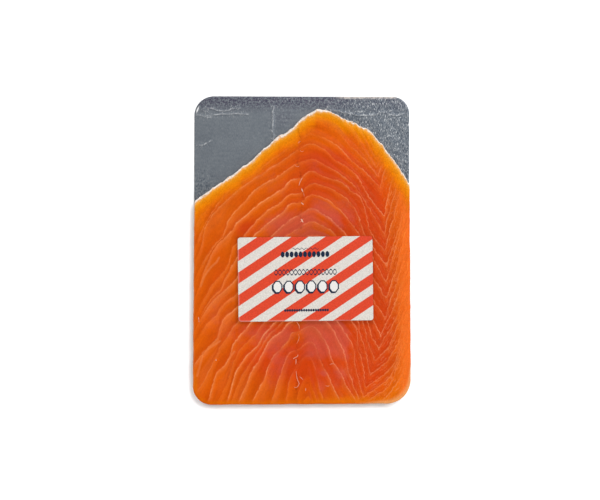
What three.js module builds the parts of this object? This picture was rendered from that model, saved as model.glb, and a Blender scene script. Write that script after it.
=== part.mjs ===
// Smoked salmon: a stack of thin slices on a foil-faced board, with a paper label on top.
// Millimetres, +Z up. The board lies flat on z = 0 and its bare foil end points along +Y.
import * as THREE from 'three';

// ---------------------------------------------------------------- driving dimensions

// Board and label: `turn` is in degrees, counter-clockwise seen from above.
const BOARD = {
  width: 128,
  length: 181.6,
  thickness: 1.2,
  bevel: 0.15,
  centre: { x: -0.1, y: 0.95 },
  turn: -0.2,
  radius: { farLeft: 11.5, farRight: 10, nearLeft: 10, nearRight: 14 },
  cornerSegments: 7,
};

const LABEL = {
  width: 80,
  length: 50,
  thickness: 0.25,
  radius: 1.6,
  centre: { x: 2.3, y: -16.9 },
  turn: 0.67,
  cornerSegments: 4,
};

const FISH = {
  thickness: 1.35,
  nearY: { left: -91.8, right: -91.0 },
  leftX: { far: -63.9, near: -64.6 },
  rightX: { far: 64.3, near: 64.9 },
  spanY: { far: 30, near: -65 },
  radius: { farLeft: 1.6, nearLeft: 11, nearRight: 14.5 },
};

// The far edge of the top slice, left to right: it rises to a blunt peak and falls again.
const FAR_EDGE = [
  [-64, 29.2], [-59.5, 32.6], [-50.5, 38.3], [-41.5, 44.5], [-36.5, 48.6], [-32.5, 51.2],
  [-25.5, 57.2], [-16.5, 65.4], [-13, 67.8], [-6, 72.4], [-0.7, 77.8], [3, 80.2],
  [10, 83.6], [13.5, 83.3], [20.5, 80], [26, 77.5], [31.5, 75.6], [38.5, 72],
  [42, 69.8], [45.7, 65.3], [53, 56.2], [60, 46.4], [64.3, 39.4],
];

// Every slice has the same plan; `reach` moves its far edge, `spread` its other edges.
// `cells` are the columns and rows of its upper face between the two rims.
const SLICES = [
  { name: 'slice_bottom', reach: 0.1, spread: -0.3, phase: 0.4, cells: [30, 4] },
  { name: 'slice_lower', reach: -0.7, spread: 0.0, phase: 1.9, cells: [30, 4] },
  { name: 'slice_upper', reach: -0.1, spread: -0.5, phase: 3.3, cells: [30, 4] },
  { name: 'slice_top', reach: 0.0, spread: 0.0, phase: 5.1, cells: [46, 54] },
];

// A slice's edge: a soft bulge in section and a slightly uneven line in plan.
const RIM = {
  insets: [0, 0.5, 1.7],
  drops: [0.6, 0.16, 0],
  undercut: 0.4,
  cornerSteps: 5,
};
const RAGGED = {
  amplitude: 0.3,
  waves: [[0.11, 1.0], [0.27, 0.6], [0.61, 0.3]],
  sideShare: 0.5,
  nearShare: 0.4,
  phase: { left: 0, right: 2, near: 4 },
};

// The flakes of the top slice stand up a little along the lines between the muscles.
const RELIEF = {
  ridge: 0.17,
  swell: 0.12,
  swellLength: { x: 47, y: 61 },
  swellPhase: 1,
  fineFrom: 1.3,
  fineTo: 2.2,
  fineRidge: 0.3,
  labelFlat: 3.2,
  labelFade: 6.5,
};

// The muscle pattern. Across the slice a position runs 0 at the left edge, 1 at the crest,
// 2 in the valley where the lines turn back up, and 3 at the right edge.
const PATTERN = { leftX: -63.5, crestX: 5.5, rightX: 63.5 };

// Where the valley runs, from the near end to the far end.
const VALLEY = [
  [26, -172], [31.5, -106.5], [38, -81.5], [43.5, -65.5], [47, -51], [50, -36.5],
  [50.5, -9.5], [49, 20], [46.5, 37.5], [44, 53.5], [42, 77.5],
];

// Chosen muscle lines, numbered from the far end: points down to the valley, then past it.
const MUSCLE_LINES = [
  [-3, [[-63.5, 39], [-24.5, 72.5], [-7, 88], [17, 90.5], [28.5, 80], [44, 53.5]],
    [[49.5, 65.5], [63.5, 101]]],
  [0, [[-63.5, 1.5], [-57.5, 15.5], [-46, 33], [-32, 43], [-2.5, 64.5], [5.5, 69],
    [20.5, 62.5], [46.5, 37.5]], [[49, 46.5], [52, 52], [63.5, 78.5]]],
  [2, [[-63.5, -17.5], [-58.5, -7], [-47, 8.5], [-43, 18], [-26, 37], [-17.5, 42],
    [5.5, 54], [31.5, 38], [40.5, 24.5], [49, 9.5]], [[50.5, 17], [56, 36], [63.5, 59.5]]],
  [4, [[-63.5, -40], [-53, -20.5], [-43, -7], [-36.5, 6], [-20.5, 23.5], [-5.5, 33.5],
    [6, 39.5], [30, 27.5], [37, 11], [50.5, -9.5]], [[59.5, 20], [63.5, 36]]],
  [6, [[-63.5, -47], [-54, -32], [-41.5, -20], [-23.5, 2.5], [-1.5, 21], [6, 25],
    [25, 11], [39.5, -11.5], [50, -28.5]], [[63.5, 17]]],
  [8, [[-63.5, -67.5], [-50, -52], [-48.5, -46], [-40.5, -36], [-7, 2], [5.5, 9],
    [17, 6], [28.5, -10], [43, -42.5], [47, -51]], [[50, -43.5], [56, -30], [63.5, -7]]],
  [10, [[-63.5, -108], [-56.5, -92], [-52, -77], [-45.5, -68], [-40.5, -56], [-36, -50],
    [-1.5, -13], [5.5, -7], [17, -11.5], [37.5, -47], [44, -65.5]],
  [[51.5, -57.5], [57, -44.5], [63.5, -29.5]]],
  [12, [[-63.5, -143.5], [-43, -86], [-38.5, -71.5], [-27, -57.5], [-23, -51], [-1.5, -29],
    [5.5, -24], [23, -36], [33, -48], [38, -81.5]], [[55, -67], [59, -56], [63.5, -42.5]]],
  [14, [[-63.5, -175], [-29.5, -71.5], [-18, -52.5], [-13, -49], [5.5, -37],
    [17.5, -45], [28.5, -73], [36, -92.5]], [[51.5, -80.5], [58.5, -64], [63.5, -50]]],
  [16, [[-63.5, -207.5], [-19.5, -94.5], [-7, -61], [5.5, -54], [12.5, -68], [31.5, -108]],
    [[58.5, -86], [63.5, -72]]],
  [18, [[-63.5, -234], [-4.5, -94.5], [4, -73.5], [6, -80], [28.5, -133.5]], [[63.5, -96]]],
  [22, [[-63.5, -284.5], [24.5, -172]], [[63.5, -136.5]]],
];

const FINISH = {
  foil: { color: 0x7f8790, roughness: 0.35, metalness: 0.9 },
  fish: { color: 0xd2601a, roughness: 0.3, metalness: 0 },
  fishTop: { color: 0xd9661c, roughness: 0.3, metalness: 0 },
  paper: { color: 0xe8d9d0, roughness: 0.45, metalness: 0 },
};

// ---------------------------------------------------------------- small helpers

const clamp01 = (t) => Math.min(1, Math.max(0, t));

const mix = (from, to, share) => from + (to - from) * share;

function smoothStep(from, to, value) {
  const t = clamp01((value - from) / (to - from));
  return t * t * (3 - 2 * t);
}

// A curve through the given points that never overshoots them (Fritsch and Carlson).
function smoothThrough(xs, ys) {
  const slopes = xs.slice(1).map((x, i) => (ys[i + 1] - ys[i]) / (x - xs[i]));
  const tangents = xs.map((_, i) => {
    if (i === 0) return slopes[0];
    if (i === xs.length - 1) return slopes[i - 1];
    const [before, after] = [slopes[i - 1], slopes[i]];
    return before * after > 0 ? (2 * before * after) / (before + after) : 0;
  });
  return (x) => {
    let i = 0;
    while (i < xs.length - 2 && x > xs[i + 1]) i += 1;
    const step = xs[i + 1] - xs[i];
    const t = (x - xs[i]) / step;
    if (t < 0) return ys[i] + tangents[i] * t * step;
    if (t > 1) return ys[i + 1] + tangents[i + 1] * (t - 1) * step;
    const rise = ys[i] * (2 * t ** 3 - 3 * t ** 2 + 1) + ys[i + 1] * (3 * t ** 2 - 2 * t ** 3);
    const bend = tangents[i] * (t ** 3 - 2 * t ** 2 + t) + tangents[i + 1] * (t ** 3 - t ** 2);
    return rise + bend * step;
  };
}

// How far a rounded corner cuts the edge back at `along` from the corner's own side.
function cornerCut(along, radius) {
  if (along >= radius) return 0;
  return radius - Math.sqrt(radius ** 2 - (radius - Math.max(0, along)) ** 2);
}

// ---------------------------------------------------------------- the muscle pattern

const valleyAt = smoothThrough(VALLEY.map(([, y]) => y), VALLEY.map(([x]) => x));
const lineHeights = MUSCLE_LINES.map(([, before, after]) => lineHeight(before, after));
const lineNumbers = MUSCLE_LINES.map(([number]) => number);

function positionAcross(x, y) {
  const valley = valleyAt(y);
  if (x < PATTERN.crestX) return (x - PATTERN.leftX) / (PATTERN.crestX - PATTERN.leftX);
  if (x < valley) return 1 + (x - PATTERN.crestX) / (valley - PATTERN.crestX);
  return 2 + (x - valley) / (PATTERN.rightX - valley);
}

// A line's height as a function of the position across, with a sharp turn in the valley.
function lineHeight(before, after) {
  const valleyY = before[before.length - 1][1];
  const position = ([x, y]) => positionAcross(x, y);
  const heights = (points) => points.map(([, y]) => y);
  const falling = smoothThrough([...before.slice(0, -1).map(position), 2], heights(before));
  const rising = smoothThrough([2, ...after.map(position)], [valleyY, ...heights(after)]);
  return (across) => (across < 2 ? falling(across) : rising(across));
}

// The running number of the muscle line at a point: whole numbers lie on the lines.
function muscleNumber(x, y) {
  const across = positionAcross(x, y);
  const descending = lineHeights.map((heightAt) => -heightAt(across));
  return smoothThrough(descending, lineNumbers)(-y);
}

function flakeRelief(x, y) {
  const across = positionAcross(x, y);
  const number = muscleNumber(x, y);
  const fine = smoothStep(RELIEF.fineFrom, RELIEF.fineTo, across);
  const ridge = RELIEF.ridge * (1 - fine * (1 - RELIEF.fineRidge));
  const swell = Math.sin(x / RELIEF.swellLength.x * Math.PI + RELIEF.swellPhase)
    * Math.cos(y / RELIEF.swellLength.y * Math.PI);
  const awayX = Math.abs(x - LABEL.centre.x) - LABEL.width / 2;
  const awayY = Math.abs(y - LABEL.centre.y) - LABEL.length / 2;
  const away = Math.max(awayX, awayY);
  const free = smoothStep(RELIEF.labelFlat, RELIEF.labelFade, away);
  return free * (ridge * Math.cos(2 * Math.PI * number) + RELIEF.swell * swell);
}

// ---------------------------------------------------------------- slices

const FISH_WIDTH = FISH.rightX.far - FISH.leftX.far;
const RIM_WIDTH = RIM.insets[RIM.insets.length - 1];

const farEdgeAt = smoothThrough(FAR_EDGE.map(([x]) => x), FAR_EDGE.map(([, y]) => y));

function raggedness(along, phase) {
  const sum = RAGGED.waves.reduce(
    (total, [frequency, share]) => total + share * Math.sin(frequency * along + phase / share),
    0,
  );
  return RAGGED.amplitude * sum;
}

// The plan of a slice: its side lines as functions of y, its near and far lines of x.
function slicePlan({ reach, spread, phase }) {
  const side = (edge, sign, turn) => (y) => {
    const share = clamp01((FISH.spanY.far - y) / (FISH.spanY.far - FISH.spanY.near));
    const wave = Math.abs(raggedness(y, phase + turn)) * RAGGED.sideShare;
    return mix(edge.far, edge.near, share) + sign * (spread - wave);
  };
  const left = side(FISH.leftX, -1, RAGGED.phase.left);
  const right = side(FISH.rightX, 1, RAGGED.phase.right);
  const far = (x) => {
    const cut = cornerCut(x - FISH.leftX.far, FISH.radius.farLeft);
    return farEdgeAt(x) + reach + raggedness(x, phase) - cut;
  };
  const near = (x) => {
    const share = (x - FISH.leftX.far) / FISH_WIDTH;
    const cutLeft = cornerCut(x - FISH.leftX.far, FISH.radius.nearLeft);
    const cutRight = cornerCut(FISH.rightX.far - x, FISH.radius.nearRight);
    const wave = Math.abs(raggedness(x, phase + RAGGED.phase.near)) * RAGGED.nearShare;
    return mix(FISH.nearY.left, FISH.nearY.right, share) - spread + wave + cutLeft + cutRight;
  };
  return { left, right, far, near };
}

const evenly = (from, to, count) => (
  Array.from({ length: count + 1 }, (_, i) => mix(from, to, i / count))
);

// Shares of the width for the columns: bunched round the corners, even between them.
function columnShares(count) {
  const arc = (radius) => Array.from({ length: RIM.cornerSteps }, (_, i) => {
    const angle = (i / RIM.cornerSteps) * Math.PI / 2;
    return (radius * (1 - Math.cos(angle))) / FISH_WIDTH;
  });
  const left = arc(FISH.radius.nearLeft);
  const right = arc(FISH.radius.nearRight).map((share) => 1 - share).reverse();
  const from = FISH.radius.nearLeft / FISH_WIDTH;
  const to = 1 - FISH.radius.nearRight / FISH_WIDTH;
  return [...left, ...evenly(from, to, count), ...right];
}

// Heights of the rows in one column: the two rims at fixed insets, even between them.
function rowHeights(near, far, count) {
  const low = RIM.insets.slice(0, -1).map((step) => near + step);
  const high = RIM.insets.slice(0, -1).map((step) => far - step).reverse();
  return [...low, ...evenly(near + RIM_WIDTH, far - RIM_WIDTH, count), ...high];
}

const dropAt = smoothThrough(RIM.insets, RIM.drops);

const rimDrop = (distance) => (distance >= RIM_WIDTH ? 0 : dropAt(distance));

// The share of a distance along Y that is square to a line at x.
const squareShare = (line, x) => 1 / Math.hypot(1, line(x + 0.5) - line(x - 0.5));

// The points of a slice's upper face, column by column, with rounded rims all round.
function upperFace(slice, topZ, relief) {
  const plan = slicePlan(slice);
  const [columnCount, rowCount] = slice.cells;
  return columnShares(columnCount).map((share) => {
    const x0 = FISH.leftX.far + share * FISH_WIDTH;
    const [near, far] = [plan.near(x0), plan.far(x0)];
    return rowHeights(near, far, rowCount).map((y) => {
      const x = mix(plan.left(y), plan.right(y), share);
      const toSide = Math.min(share, 1 - share) * FISH_WIDTH;
      const toNear = (y - near) * squareShare(plan.near, x0);
      const toFar = (far - y) * squareShare(plan.far, x0);
      const toEdge = Math.min(toSide, toNear, toFar);
      const z = topZ - rimDrop(toEdge) + smoothStep(0, RIM_WIDTH, toEdge) * relief(x, y);
      return new THREE.Vector3(x, y, z);
    });
  });
}

// Two triangles for each cell, split along the diagonal that follows the relief.
function cellFaces(columns, at) {
  const faces = [];
  for (let i = 0; i < columns.length - 1; i += 1) {
    for (let j = 0; j < columns[0].length - 1; j += 1) {
      const [a, b, c, d] = [at(i, j), at(i + 1, j), at(i + 1, j + 1), at(i, j + 1)];
      const rising = Math.abs(columns[i][j].z - columns[i + 1][j + 1].z);
      const falling = Math.abs(columns[i + 1][j].z - columns[i][j + 1].z);
      faces.push(...(rising <= falling ? [a, b, c, a, c, d] : [a, b, d, b, c, d]));
    }
  }
  return faces;
}

// One slice: the upper face, a wall that tucks under its bulge, and a flat base.
function sliceGeometry(slice, baseZ, relief) {
  const columns = upperFace(slice, baseZ + FISH.thickness, relief);
  const rows = columns[0].length;
  const at = (i, j) => i * rows + j;
  const points = columns.flat();
  const faces = cellFaces(columns, at);
  const loop = borderLoop(columns.length, rows, at);
  const ring = tuckedRing(loop.map((index) => points[index]));
  const start = points.length;
  loop.forEach((upper, i) => {
    const next = (i + 1) % loop.length;
    faces.push(upper, start + i, start + next, upper, start + next, loop[next]);
  });
  THREE.ShapeUtils.triangulateShape(ring, []).forEach(([a, b, c]) => {
    faces.push(start + c, start + b, start + a);
  });
  points.push(...ring.map(({ x, y }) => new THREE.Vector3(x, y, baseZ)));
  const geometry = new THREE.BufferGeometry().setFromPoints(points);
  geometry.setIndex(faces);
  return geometry;
}

// The border of the grid of points, counter-clockwise seen from above.
function borderLoop(columns, rows, at) {
  const loop = [];
  for (let i = 0; i < columns - 1; i += 1) loop.push(at(i, 0));
  for (let j = 0; j < rows - 1; j += 1) loop.push(at(columns - 1, j));
  for (let i = columns - 1; i > 0; i -= 1) loop.push(at(i, rows - 1));
  for (let j = rows - 1; j > 0; j -= 1) loop.push(at(0, j));
  return loop;
}

// The same border moved inwards by the undercut: where the slice meets what it lies on.
function tuckedRing(border) {
  const at = (i) => border[(i + border.length) % border.length];
  return border.map(({ x, y }, i) => {
    const along = new THREE.Vector3().subVectors(at(i + 1), at(i - 1)).setZ(0).normalize();
    return new THREE.Vector2(x - along.y * RIM.undercut, y + along.x * RIM.undercut);
  });
}

// ---------------------------------------------------------------- board and label

function roundedOutline(width, length, { nearLeft, nearRight, farRight, farLeft }) {
  const [right, far] = [width / 2, length / 2];
  const shape = new THREE.Shape();
  shape.moveTo(-right + nearLeft, -far);
  shape.lineTo(right - nearRight, -far);
  shape.absarc(right - nearRight, -far + nearRight, nearRight, -Math.PI / 2, 0);
  shape.lineTo(right, far - farRight);
  shape.absarc(right - farRight, far - farRight, farRight, 0, Math.PI / 2);
  shape.lineTo(-right + farLeft, far);
  shape.absarc(-right + farLeft, far - farLeft, farLeft, Math.PI / 2, Math.PI);
  shape.lineTo(-right, -far + nearLeft);
  shape.absarc(-right + nearLeft, -far + nearLeft, nearLeft, Math.PI, Math.PI * 1.5);
  return shape;
}

// A geometry drawn round the origin, turned and moved to where its piece lies.
function laid(geometry, { centre, turn }, z) {
  return geometry.rotateZ(THREE.MathUtils.degToRad(turn)).translate(centre.x, centre.y, z);
}

function boardGeometry() {
  const { width, length, thickness, bevel, radius, cornerSegments } = BOARD;
  const outline = roundedOutline(width - 2 * bevel, length - 2 * bevel, radius);
  const geometry = new THREE.ExtrudeGeometry(outline, {
    depth: thickness - 2 * bevel,
    bevelThickness: bevel,
    bevelSize: bevel,
    bevelSegments: 1,
    curveSegments: cornerSegments,
  });
  return laid(geometry, BOARD, bevel);
}

function labelGeometry() {
  const { width, length, thickness, radius, cornerSegments } = LABEL;
  const radii = { nearLeft: radius, nearRight: radius, farRight: radius, farLeft: radius };
  const geometry = new THREE.ExtrudeGeometry(roundedOutline(width, length, radii), {
    depth: thickness,
    bevelEnabled: false,
    curveSegments: cornerSegments,
  });
  return laid(geometry, LABEL, BOARD.thickness + SLICES.length * FISH.thickness);
}

// ---------------------------------------------------------------- the whole

function piece(name, geometry, finish) {
  const mesh = new THREE.Mesh(geometry, new THREE.MeshStandardMaterial(finish));
  mesh.name = name;
  return mesh;
}

const pack = new THREE.Group();
pack.add(piece('foil_board', boardGeometry(), FINISH.foil));
SLICES.forEach((slice, i) => {
  const isTop = i === SLICES.length - 1;
  const relief = isTop ? flakeRelief : () => 0;
  const baseZ = BOARD.thickness + i * FISH.thickness;
  const finish = isTop ? FINISH.fishTop : FINISH.fish;
  pack.add(piece(slice.name, sliceGeometry(slice, baseZ, relief), finish));
});
pack.add(piece('label', labelGeometry(), FINISH.paper));

// The origin is the middle of the underside of the whole.
const box = new THREE.Box3().setFromObject(pack, true);
const middle = box.getCenter(new THREE.Vector3());
pack.position.set(-middle.x, -middle.y, -box.min.z);

export default pack;
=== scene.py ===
"""Smoked salmon slices on a foil-faced board, with a striped paper label.

Lengths are millimetres, unless a comment says m. The drawing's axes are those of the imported
model: +Z up, the bare foil end of the board towards +Y. Where a mesh is made, its points are
moved to the model's origin and turned into metres.
"""

from __future__ import annotations

import logging
import math
from collections.abc import Callable, Iterable, Mapping, Sequence
from dataclasses import dataclass, field
from enum import Enum
from typing import Any, TypeVar, Union

import bpy
import numpy as np
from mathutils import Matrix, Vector
from mathutils.geometry import tessellate_polygon

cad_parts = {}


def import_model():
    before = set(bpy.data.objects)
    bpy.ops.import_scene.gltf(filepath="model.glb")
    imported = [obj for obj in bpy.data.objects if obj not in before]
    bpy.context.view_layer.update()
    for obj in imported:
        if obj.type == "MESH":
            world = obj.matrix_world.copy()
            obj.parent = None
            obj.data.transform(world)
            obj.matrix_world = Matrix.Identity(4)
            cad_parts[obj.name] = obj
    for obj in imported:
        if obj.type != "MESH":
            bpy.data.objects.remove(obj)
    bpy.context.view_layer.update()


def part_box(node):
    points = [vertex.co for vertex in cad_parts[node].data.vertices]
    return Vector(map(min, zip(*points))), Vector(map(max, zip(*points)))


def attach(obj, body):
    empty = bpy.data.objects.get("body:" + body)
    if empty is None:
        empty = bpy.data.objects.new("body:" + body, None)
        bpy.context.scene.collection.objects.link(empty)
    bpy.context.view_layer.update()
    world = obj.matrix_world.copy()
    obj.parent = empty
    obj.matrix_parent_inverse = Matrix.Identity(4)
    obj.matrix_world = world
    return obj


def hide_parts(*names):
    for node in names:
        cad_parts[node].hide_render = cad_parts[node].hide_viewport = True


LOG = logging.getLogger("smoked_salmon")

Array = np.ndarray
Rgb = tuple[float, float, float]
Pair = tuple[float, float]
Made = TypeVar("Made")

MM = 0.001
STUDIO_GAIN = 1.75
NOISE_LATTICE = 512
BOARD_THICKNESS = 1.2
SLICE_THICKNESS = 1.35
FACE_HEIGHT = 6.6
LABEL_MIDDLE: Pair = (2.3, -16.9)
LABEL_SIZE: Pair = (80.0, 50.0)
LABEL_TURN = 0.67


class Body(Enum):
    """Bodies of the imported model."""

    ROOT = "root"


class Slot(Enum):
    """Material slots of the record."""

    BOARD = "foil_board"
    INNER = "salmon_inner"
    TOP = "salmon_top"
    LABEL = "label"


class Node(Enum):
    """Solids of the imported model."""

    BOARD = "foil_board"
    SLICE_BOTTOM = "slice_bottom"
    SLICE_LOWER = "slice_lower"
    SLICE_UPPER = "slice_upper"
    SLICE_TOP = "slice_top"
    LABEL = "label"


# Numbers and curves
# ------------------


def many(kind: Callable[..., Made], *rows: tuple[Any, ...]) -> tuple[Made, ...]:
    """Return one thing of a kind for each row of its values."""
    return tuple(kind(*row) for row in rows)


def linear(channel: int) -> float:
    """Return a display channel, 0 to 255, as linear light, 0 to 1."""
    share = channel / 255
    return share / 12.92 if share <= 0.04045 else ((share + 0.055) / 1.055) ** 2.4


def rgb(red: int, green: int, blue: int) -> Rgb:
    """Return the paint that looks like a display colour under the studio light."""
    return linear(red) / STUDIO_GAIN, linear(green) / STUDIO_GAIN, linear(blue) / STUDIO_GAIN


def eased(share: Array) -> Array:
    """Return shares, 0 to 1, eased at both ends."""
    return share * share * (3 - 2 * share)


def rise(low: float, high: float, value: Array) -> Array:
    """Rise smoothly from 0 at low to 1 at high; where low is higher it is a fall."""
    return eased(np.clip((value - low) / (high - low), 0.0, 1.0))


def smooth_through(xs: Sequence[float], ys: Sequence[float]) -> Callable[[Array], Array]:
    """Return a curve through points that never overshoots them.

    Args:
        xs: Rising abscissas.
        ys: Their ordinates.

    Returns:
        The curve as a function of arrays, straight beyond both ends.
    """
    x_at, y_at = np.asarray(xs, float), np.asarray(ys, float)
    steps = np.diff(x_at)
    slopes = np.diff(y_at) / steps
    tilts = np.concatenate([slopes[:1], np.zeros(len(x_at) - 2), slopes[-1:]])
    before, after = slopes[:-1], slopes[1:]
    agree = before * after > 0
    total = np.where(agree, before + after, 1.0)
    tilts[1:-1] = np.where(agree, 2 * before * after / total, 0.0)

    def curve(x: Array) -> Array:
        """Evaluate the curve."""
        i = np.clip(np.searchsorted(x_at, x, side="right") - 1, 0, len(steps) - 1)
        return hermite((x - x_at[i]) / steps[i], steps[i], y_at[i], y_at[i + 1], tilts[i], tilts[i + 1])

    return curve


def curve_through(points: Sequence[Pair], along: int = 0) -> Callable[[Array], Array]:
    """Return the smooth curve through points that rise along X, or along Y where along is 1."""
    places = np.asarray(points, float)
    return smooth_through(places[:, along], places[:, 1 - along])


def hermite(t: Array, step: Array, y0: Array, y1: Array, m0: Array, m1: Array) -> Array:
    """Blend two ends of a stretch by their heights and slopes.

    Args:
        t: Place on the stretch, 0 to 1; beyond it the line runs on straight.
        step: Length of the stretch.
        y0, y1: Heights at its start and its end.
        m0, m1: Slopes there.

    Returns:
        The heights.
    """
    c = np.clip(t, 0.0, 1.0)
    level = y0 * (2 * c**3 - 3 * c**2 + 1) + y1 * (3 * c**2 - 2 * c**3)
    bend = step * (m0 * (c**3 - 2 * c**2 + c) + m1 * (c**3 - c**2))
    beyond = np.where(t < 0, t * step * m0, 0.0) + np.where(t > 1, (t - 1) * step * m1, 0.0)
    return level + bend + beyond


@dataclass(frozen=True)
class SmoothNoise:
    """Seeded value noise in the plane, from -1 to 1."""

    seed: int
    cell: float  # Size of a lattice cell
    octaves: int = 3  # How many layers are summed, each twice as fine

    def __call__(self, x: Array, y: Array) -> Array:
        """Return the noise at points.

        Args:
            x, y: The points, mm.

        Returns:
            The noise.
        """
        total = np.zeros(np.broadcast(x, y).shape)
        reach = 0.0
        for octave in range(self.octaves):
            share = 0.5**octave
            total = total + share * self._layer(x, y, self.cell * share, self.seed + octave)
            reach += share
        return total / reach

    @staticmethod
    def _layer(x: Array, y: Array, cell: float, seed: int) -> Array:
        """Return one layer of the noise.

        Args:
            x, y: The points, mm.
            cell: Size of a lattice cell, mm.
            seed: Seed of the lattice.

        Returns:
            The layer, -1 to 1.
        """
        size = NOISE_LATTICE
        lattice = np.random.RandomState(seed).uniform(-1, 1, (size, size))
        u, v = np.asarray(x) / cell + size / 2, np.asarray(y) / cell + size / 2
        i, j = np.floor(u).astype(int), np.floor(v).astype(int)
        s, t = eased(u - i), eased(v - j)
        i, j, i2, j2 = i % size, j % size, (i + 1) % size, (j + 1) % size
        low = lattice[i, j] * (1 - s) + lattice[i2, j] * s
        high = lattice[i, j2] * (1 - s) + lattice[i2, j2] * s
        return low * (1 - t) + high * t


# Shader sockets and nodes
# ------------------------

Operand = Union["Signal", float, Rgb]


class Signal:
    """An output socket whose operators add Math, Vector Math or Mix nodes."""

    def __init__(self, net: Net, socket: bpy.types.NodeSocket) -> None:
        """Wrap a socket of a net."""
        self.net = net
        self.socket = socket

    @property
    def wide(self) -> bool:
        """Whether it carries three numbers."""
        return self.socket.type in {"VECTOR", "RGBA"}

    def _apply(self, operation: str, *values: Operand) -> Signal:
        """Add the node that works an operation out.

        Args:
            operation: Its name.
            values: What it works on.

        Returns:
            The result.
        """
        wide = any(isinstance(v, tuple) or (isinstance(v, Signal) and v.wide) for v in values)
        kind = "ShaderNodeVectorMath" if wide else "ShaderNodeMath"
        spread = [(v, v, v) if wide and isinstance(v, (int, float)) else v for v in values]
        return self.net.node(kind, {"operation": operation}, dict(enumerate(spread)))

    def __add__(self, other: Operand) -> Signal:
        """Return the sum."""
        return self._apply("ADD", self, other)

    __radd__ = __add__

    def __sub__(self, other: Operand) -> Signal:
        """Return the difference."""
        return self._apply("SUBTRACT", self, other)

    def __rsub__(self, other: Operand) -> Signal:
        """Return the difference from a number."""
        return self._apply("SUBTRACT", other, self)

    def __mul__(self, other: Operand) -> Signal:
        """Return the product."""
        return self._apply("MULTIPLY", self, other)

    __rmul__ = __mul__

    def __truediv__(self, other: Operand) -> Signal:
        """Return the quotient."""
        return self._apply("DIVIDE", self, other)

    def __abs__(self) -> Signal:
        """Return the size without its sign."""
        return self._apply("ABSOLUTE", self)

    def fraction(self) -> Signal:
        """Return what is past the last whole number."""
        return self._apply("FRACT", self)

    def sine(self) -> Signal:
        """Return the sine."""
        return self._apply("SINE", self)

    def least(self, other: Operand) -> Signal:
        """Return the smaller of two."""
        return self._apply("MINIMUM", self, other)

    def most(self, other: Operand) -> Signal:
        """Return the larger of two."""
        return self._apply("MAXIMUM", self, other)

    def rise(self, low: float, high: float) -> Signal:
        """Rise smoothly from 0 at low to 1 at high.

        Args:
            low: Where the rise starts.
            high: Where it ends; below low it is a fall.

        Returns:
            The mapped value.
        """
        if low > high:
            return 1 - self.rise(high, low)
        values = {"Value": self, "From Min": low, "From Max": high}
        return self.net.node("ShaderNodeMapRange", {"interpolation_type": "SMOOTHSTEP"}, values)

    def parts(self) -> tuple[Signal, Signal, Signal]:
        """Return the three numbers that it carries."""
        made = self.net.make("ShaderNodeSeparateXYZ", {}, {"Vector": self})
        return tuple(Signal(self.net, made.outputs[i]) for i in range(3))


class Net:
    """The node tree of a material or of the world."""

    def __init__(self, owner: bpy.types.Material | bpy.types.World) -> None:
        """Start with an empty tree.

        Args:
            owner: What the tree belongs to.
        """
        owner.use_nodes = True
        self.owner = owner
        self.tree = owner.node_tree
        self.tree.nodes.clear()

    @classmethod
    def for_material(cls, name: str) -> Net:
        """Return the empty tree of a new material."""
        return cls(bpy.data.materials.new(name))

    def make(self, kind: str, settings: Mapping[str, Any], values: Mapping[Any, Any]) -> bpy.types.Node:
        """Add a node.

        Args:
            kind: The node's type.
            settings: Its own settings; `stops` are a colour ramp's places and colours.
            values: Socket names or numbers, with the values or signals that they take.

        Returns:
            The node.
        """
        made = self.tree.nodes.new(kind)
        for name, setting in settings.items():
            if name == "stops":
                self._set_stops(made.color_ramp, setting)
            else:
                setattr(made, name, setting)
        for name, value in values.items():
            socket = made.inputs[name]
            if isinstance(value, Signal):
                self.tree.links.new(value.socket, socket)
            elif socket.type == "RGBA":
                socket.default_value = (*value, 1.0)
            else:
                socket.default_value = value
        return made

    def node(
        self,
        kind: str,
        settings: Mapping[str, Any],
        values: Mapping[Any, Any],
        output: int | str = 0,
    ) -> Signal:
        """Add a node, as make does, and return one of its outputs."""
        return Signal(self, self.make(kind, settings, values).outputs[output])

    @staticmethod
    def _set_stops(ramp: bpy.types.ColorRamp, stops: Sequence[tuple[float, Rgb]]) -> None:
        """Give a colour ramp its stops.

        Args:
            ramp: The ramp.
            stops: Their places, 0 to 1, and their colours.
        """
        while len(ramp.elements) < len(stops):
            ramp.elements.new(1.0)
        for element, (place, colour) in zip(ramp.elements, stops):
            element.position = place
            element.color = (*colour, 1.0)

    def place(self) -> Signal:
        """Return the place on the object, in millimetres."""
        return self.node("ShaderNodeTexCoord", {}, {}, "Object") * 1000.0

    def stored(self, name: str) -> Signal:
        """Return a number stored on the mesh under a name."""
        return self.node("ShaderNodeAttribute", {"attribute_name": name}, {}, "Fac")

    def noise(self, where: Signal, size: float, detail: float = 2.0, rough: float = 0.5) -> Signal:
        """Return noise from 0 to 1 whose features have a size, mm, at a place, mm."""
        values = {"Vector": where, "Scale": 1 / size, "Detail": detail, "Roughness": rough}
        return self.node("ShaderNodeTexNoise", {}, values)

    def mix(self, share: Operand, first: Operand, second: Operand) -> Signal:
        """Blend two colours: a share of 0 gives the first, 1 the second."""
        settings = {"data_type": "RGBA", "clamp_factor": True}
        return self.node("ShaderNodeMix", settings, {0: share, 6: first, 7: second}, 2)

    def bump(self, height: Signal, strength: float, depth: float) -> Signal:
        """Return a normal bent by a height from 0 to 1, which stands for a depth, mm."""
        values = {"Height": height, "Strength": strength, "Distance": depth * MM}
        return self.node("ShaderNodeBump", {}, values)

    def surface(self, values: Mapping[str, Any]) -> bpy.types.Material:
        """Close the tree with a Principled surface.

        Args:
            values: The surface's values or signals, by socket name.

        Returns:
            The material.
        """
        made = self.node("ShaderNodeBsdfPrincipled", {}, values)
        self.make("ShaderNodeOutputMaterial", {}, {"Surface": made})
        return self.owner


# Meshes
# ------


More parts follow.
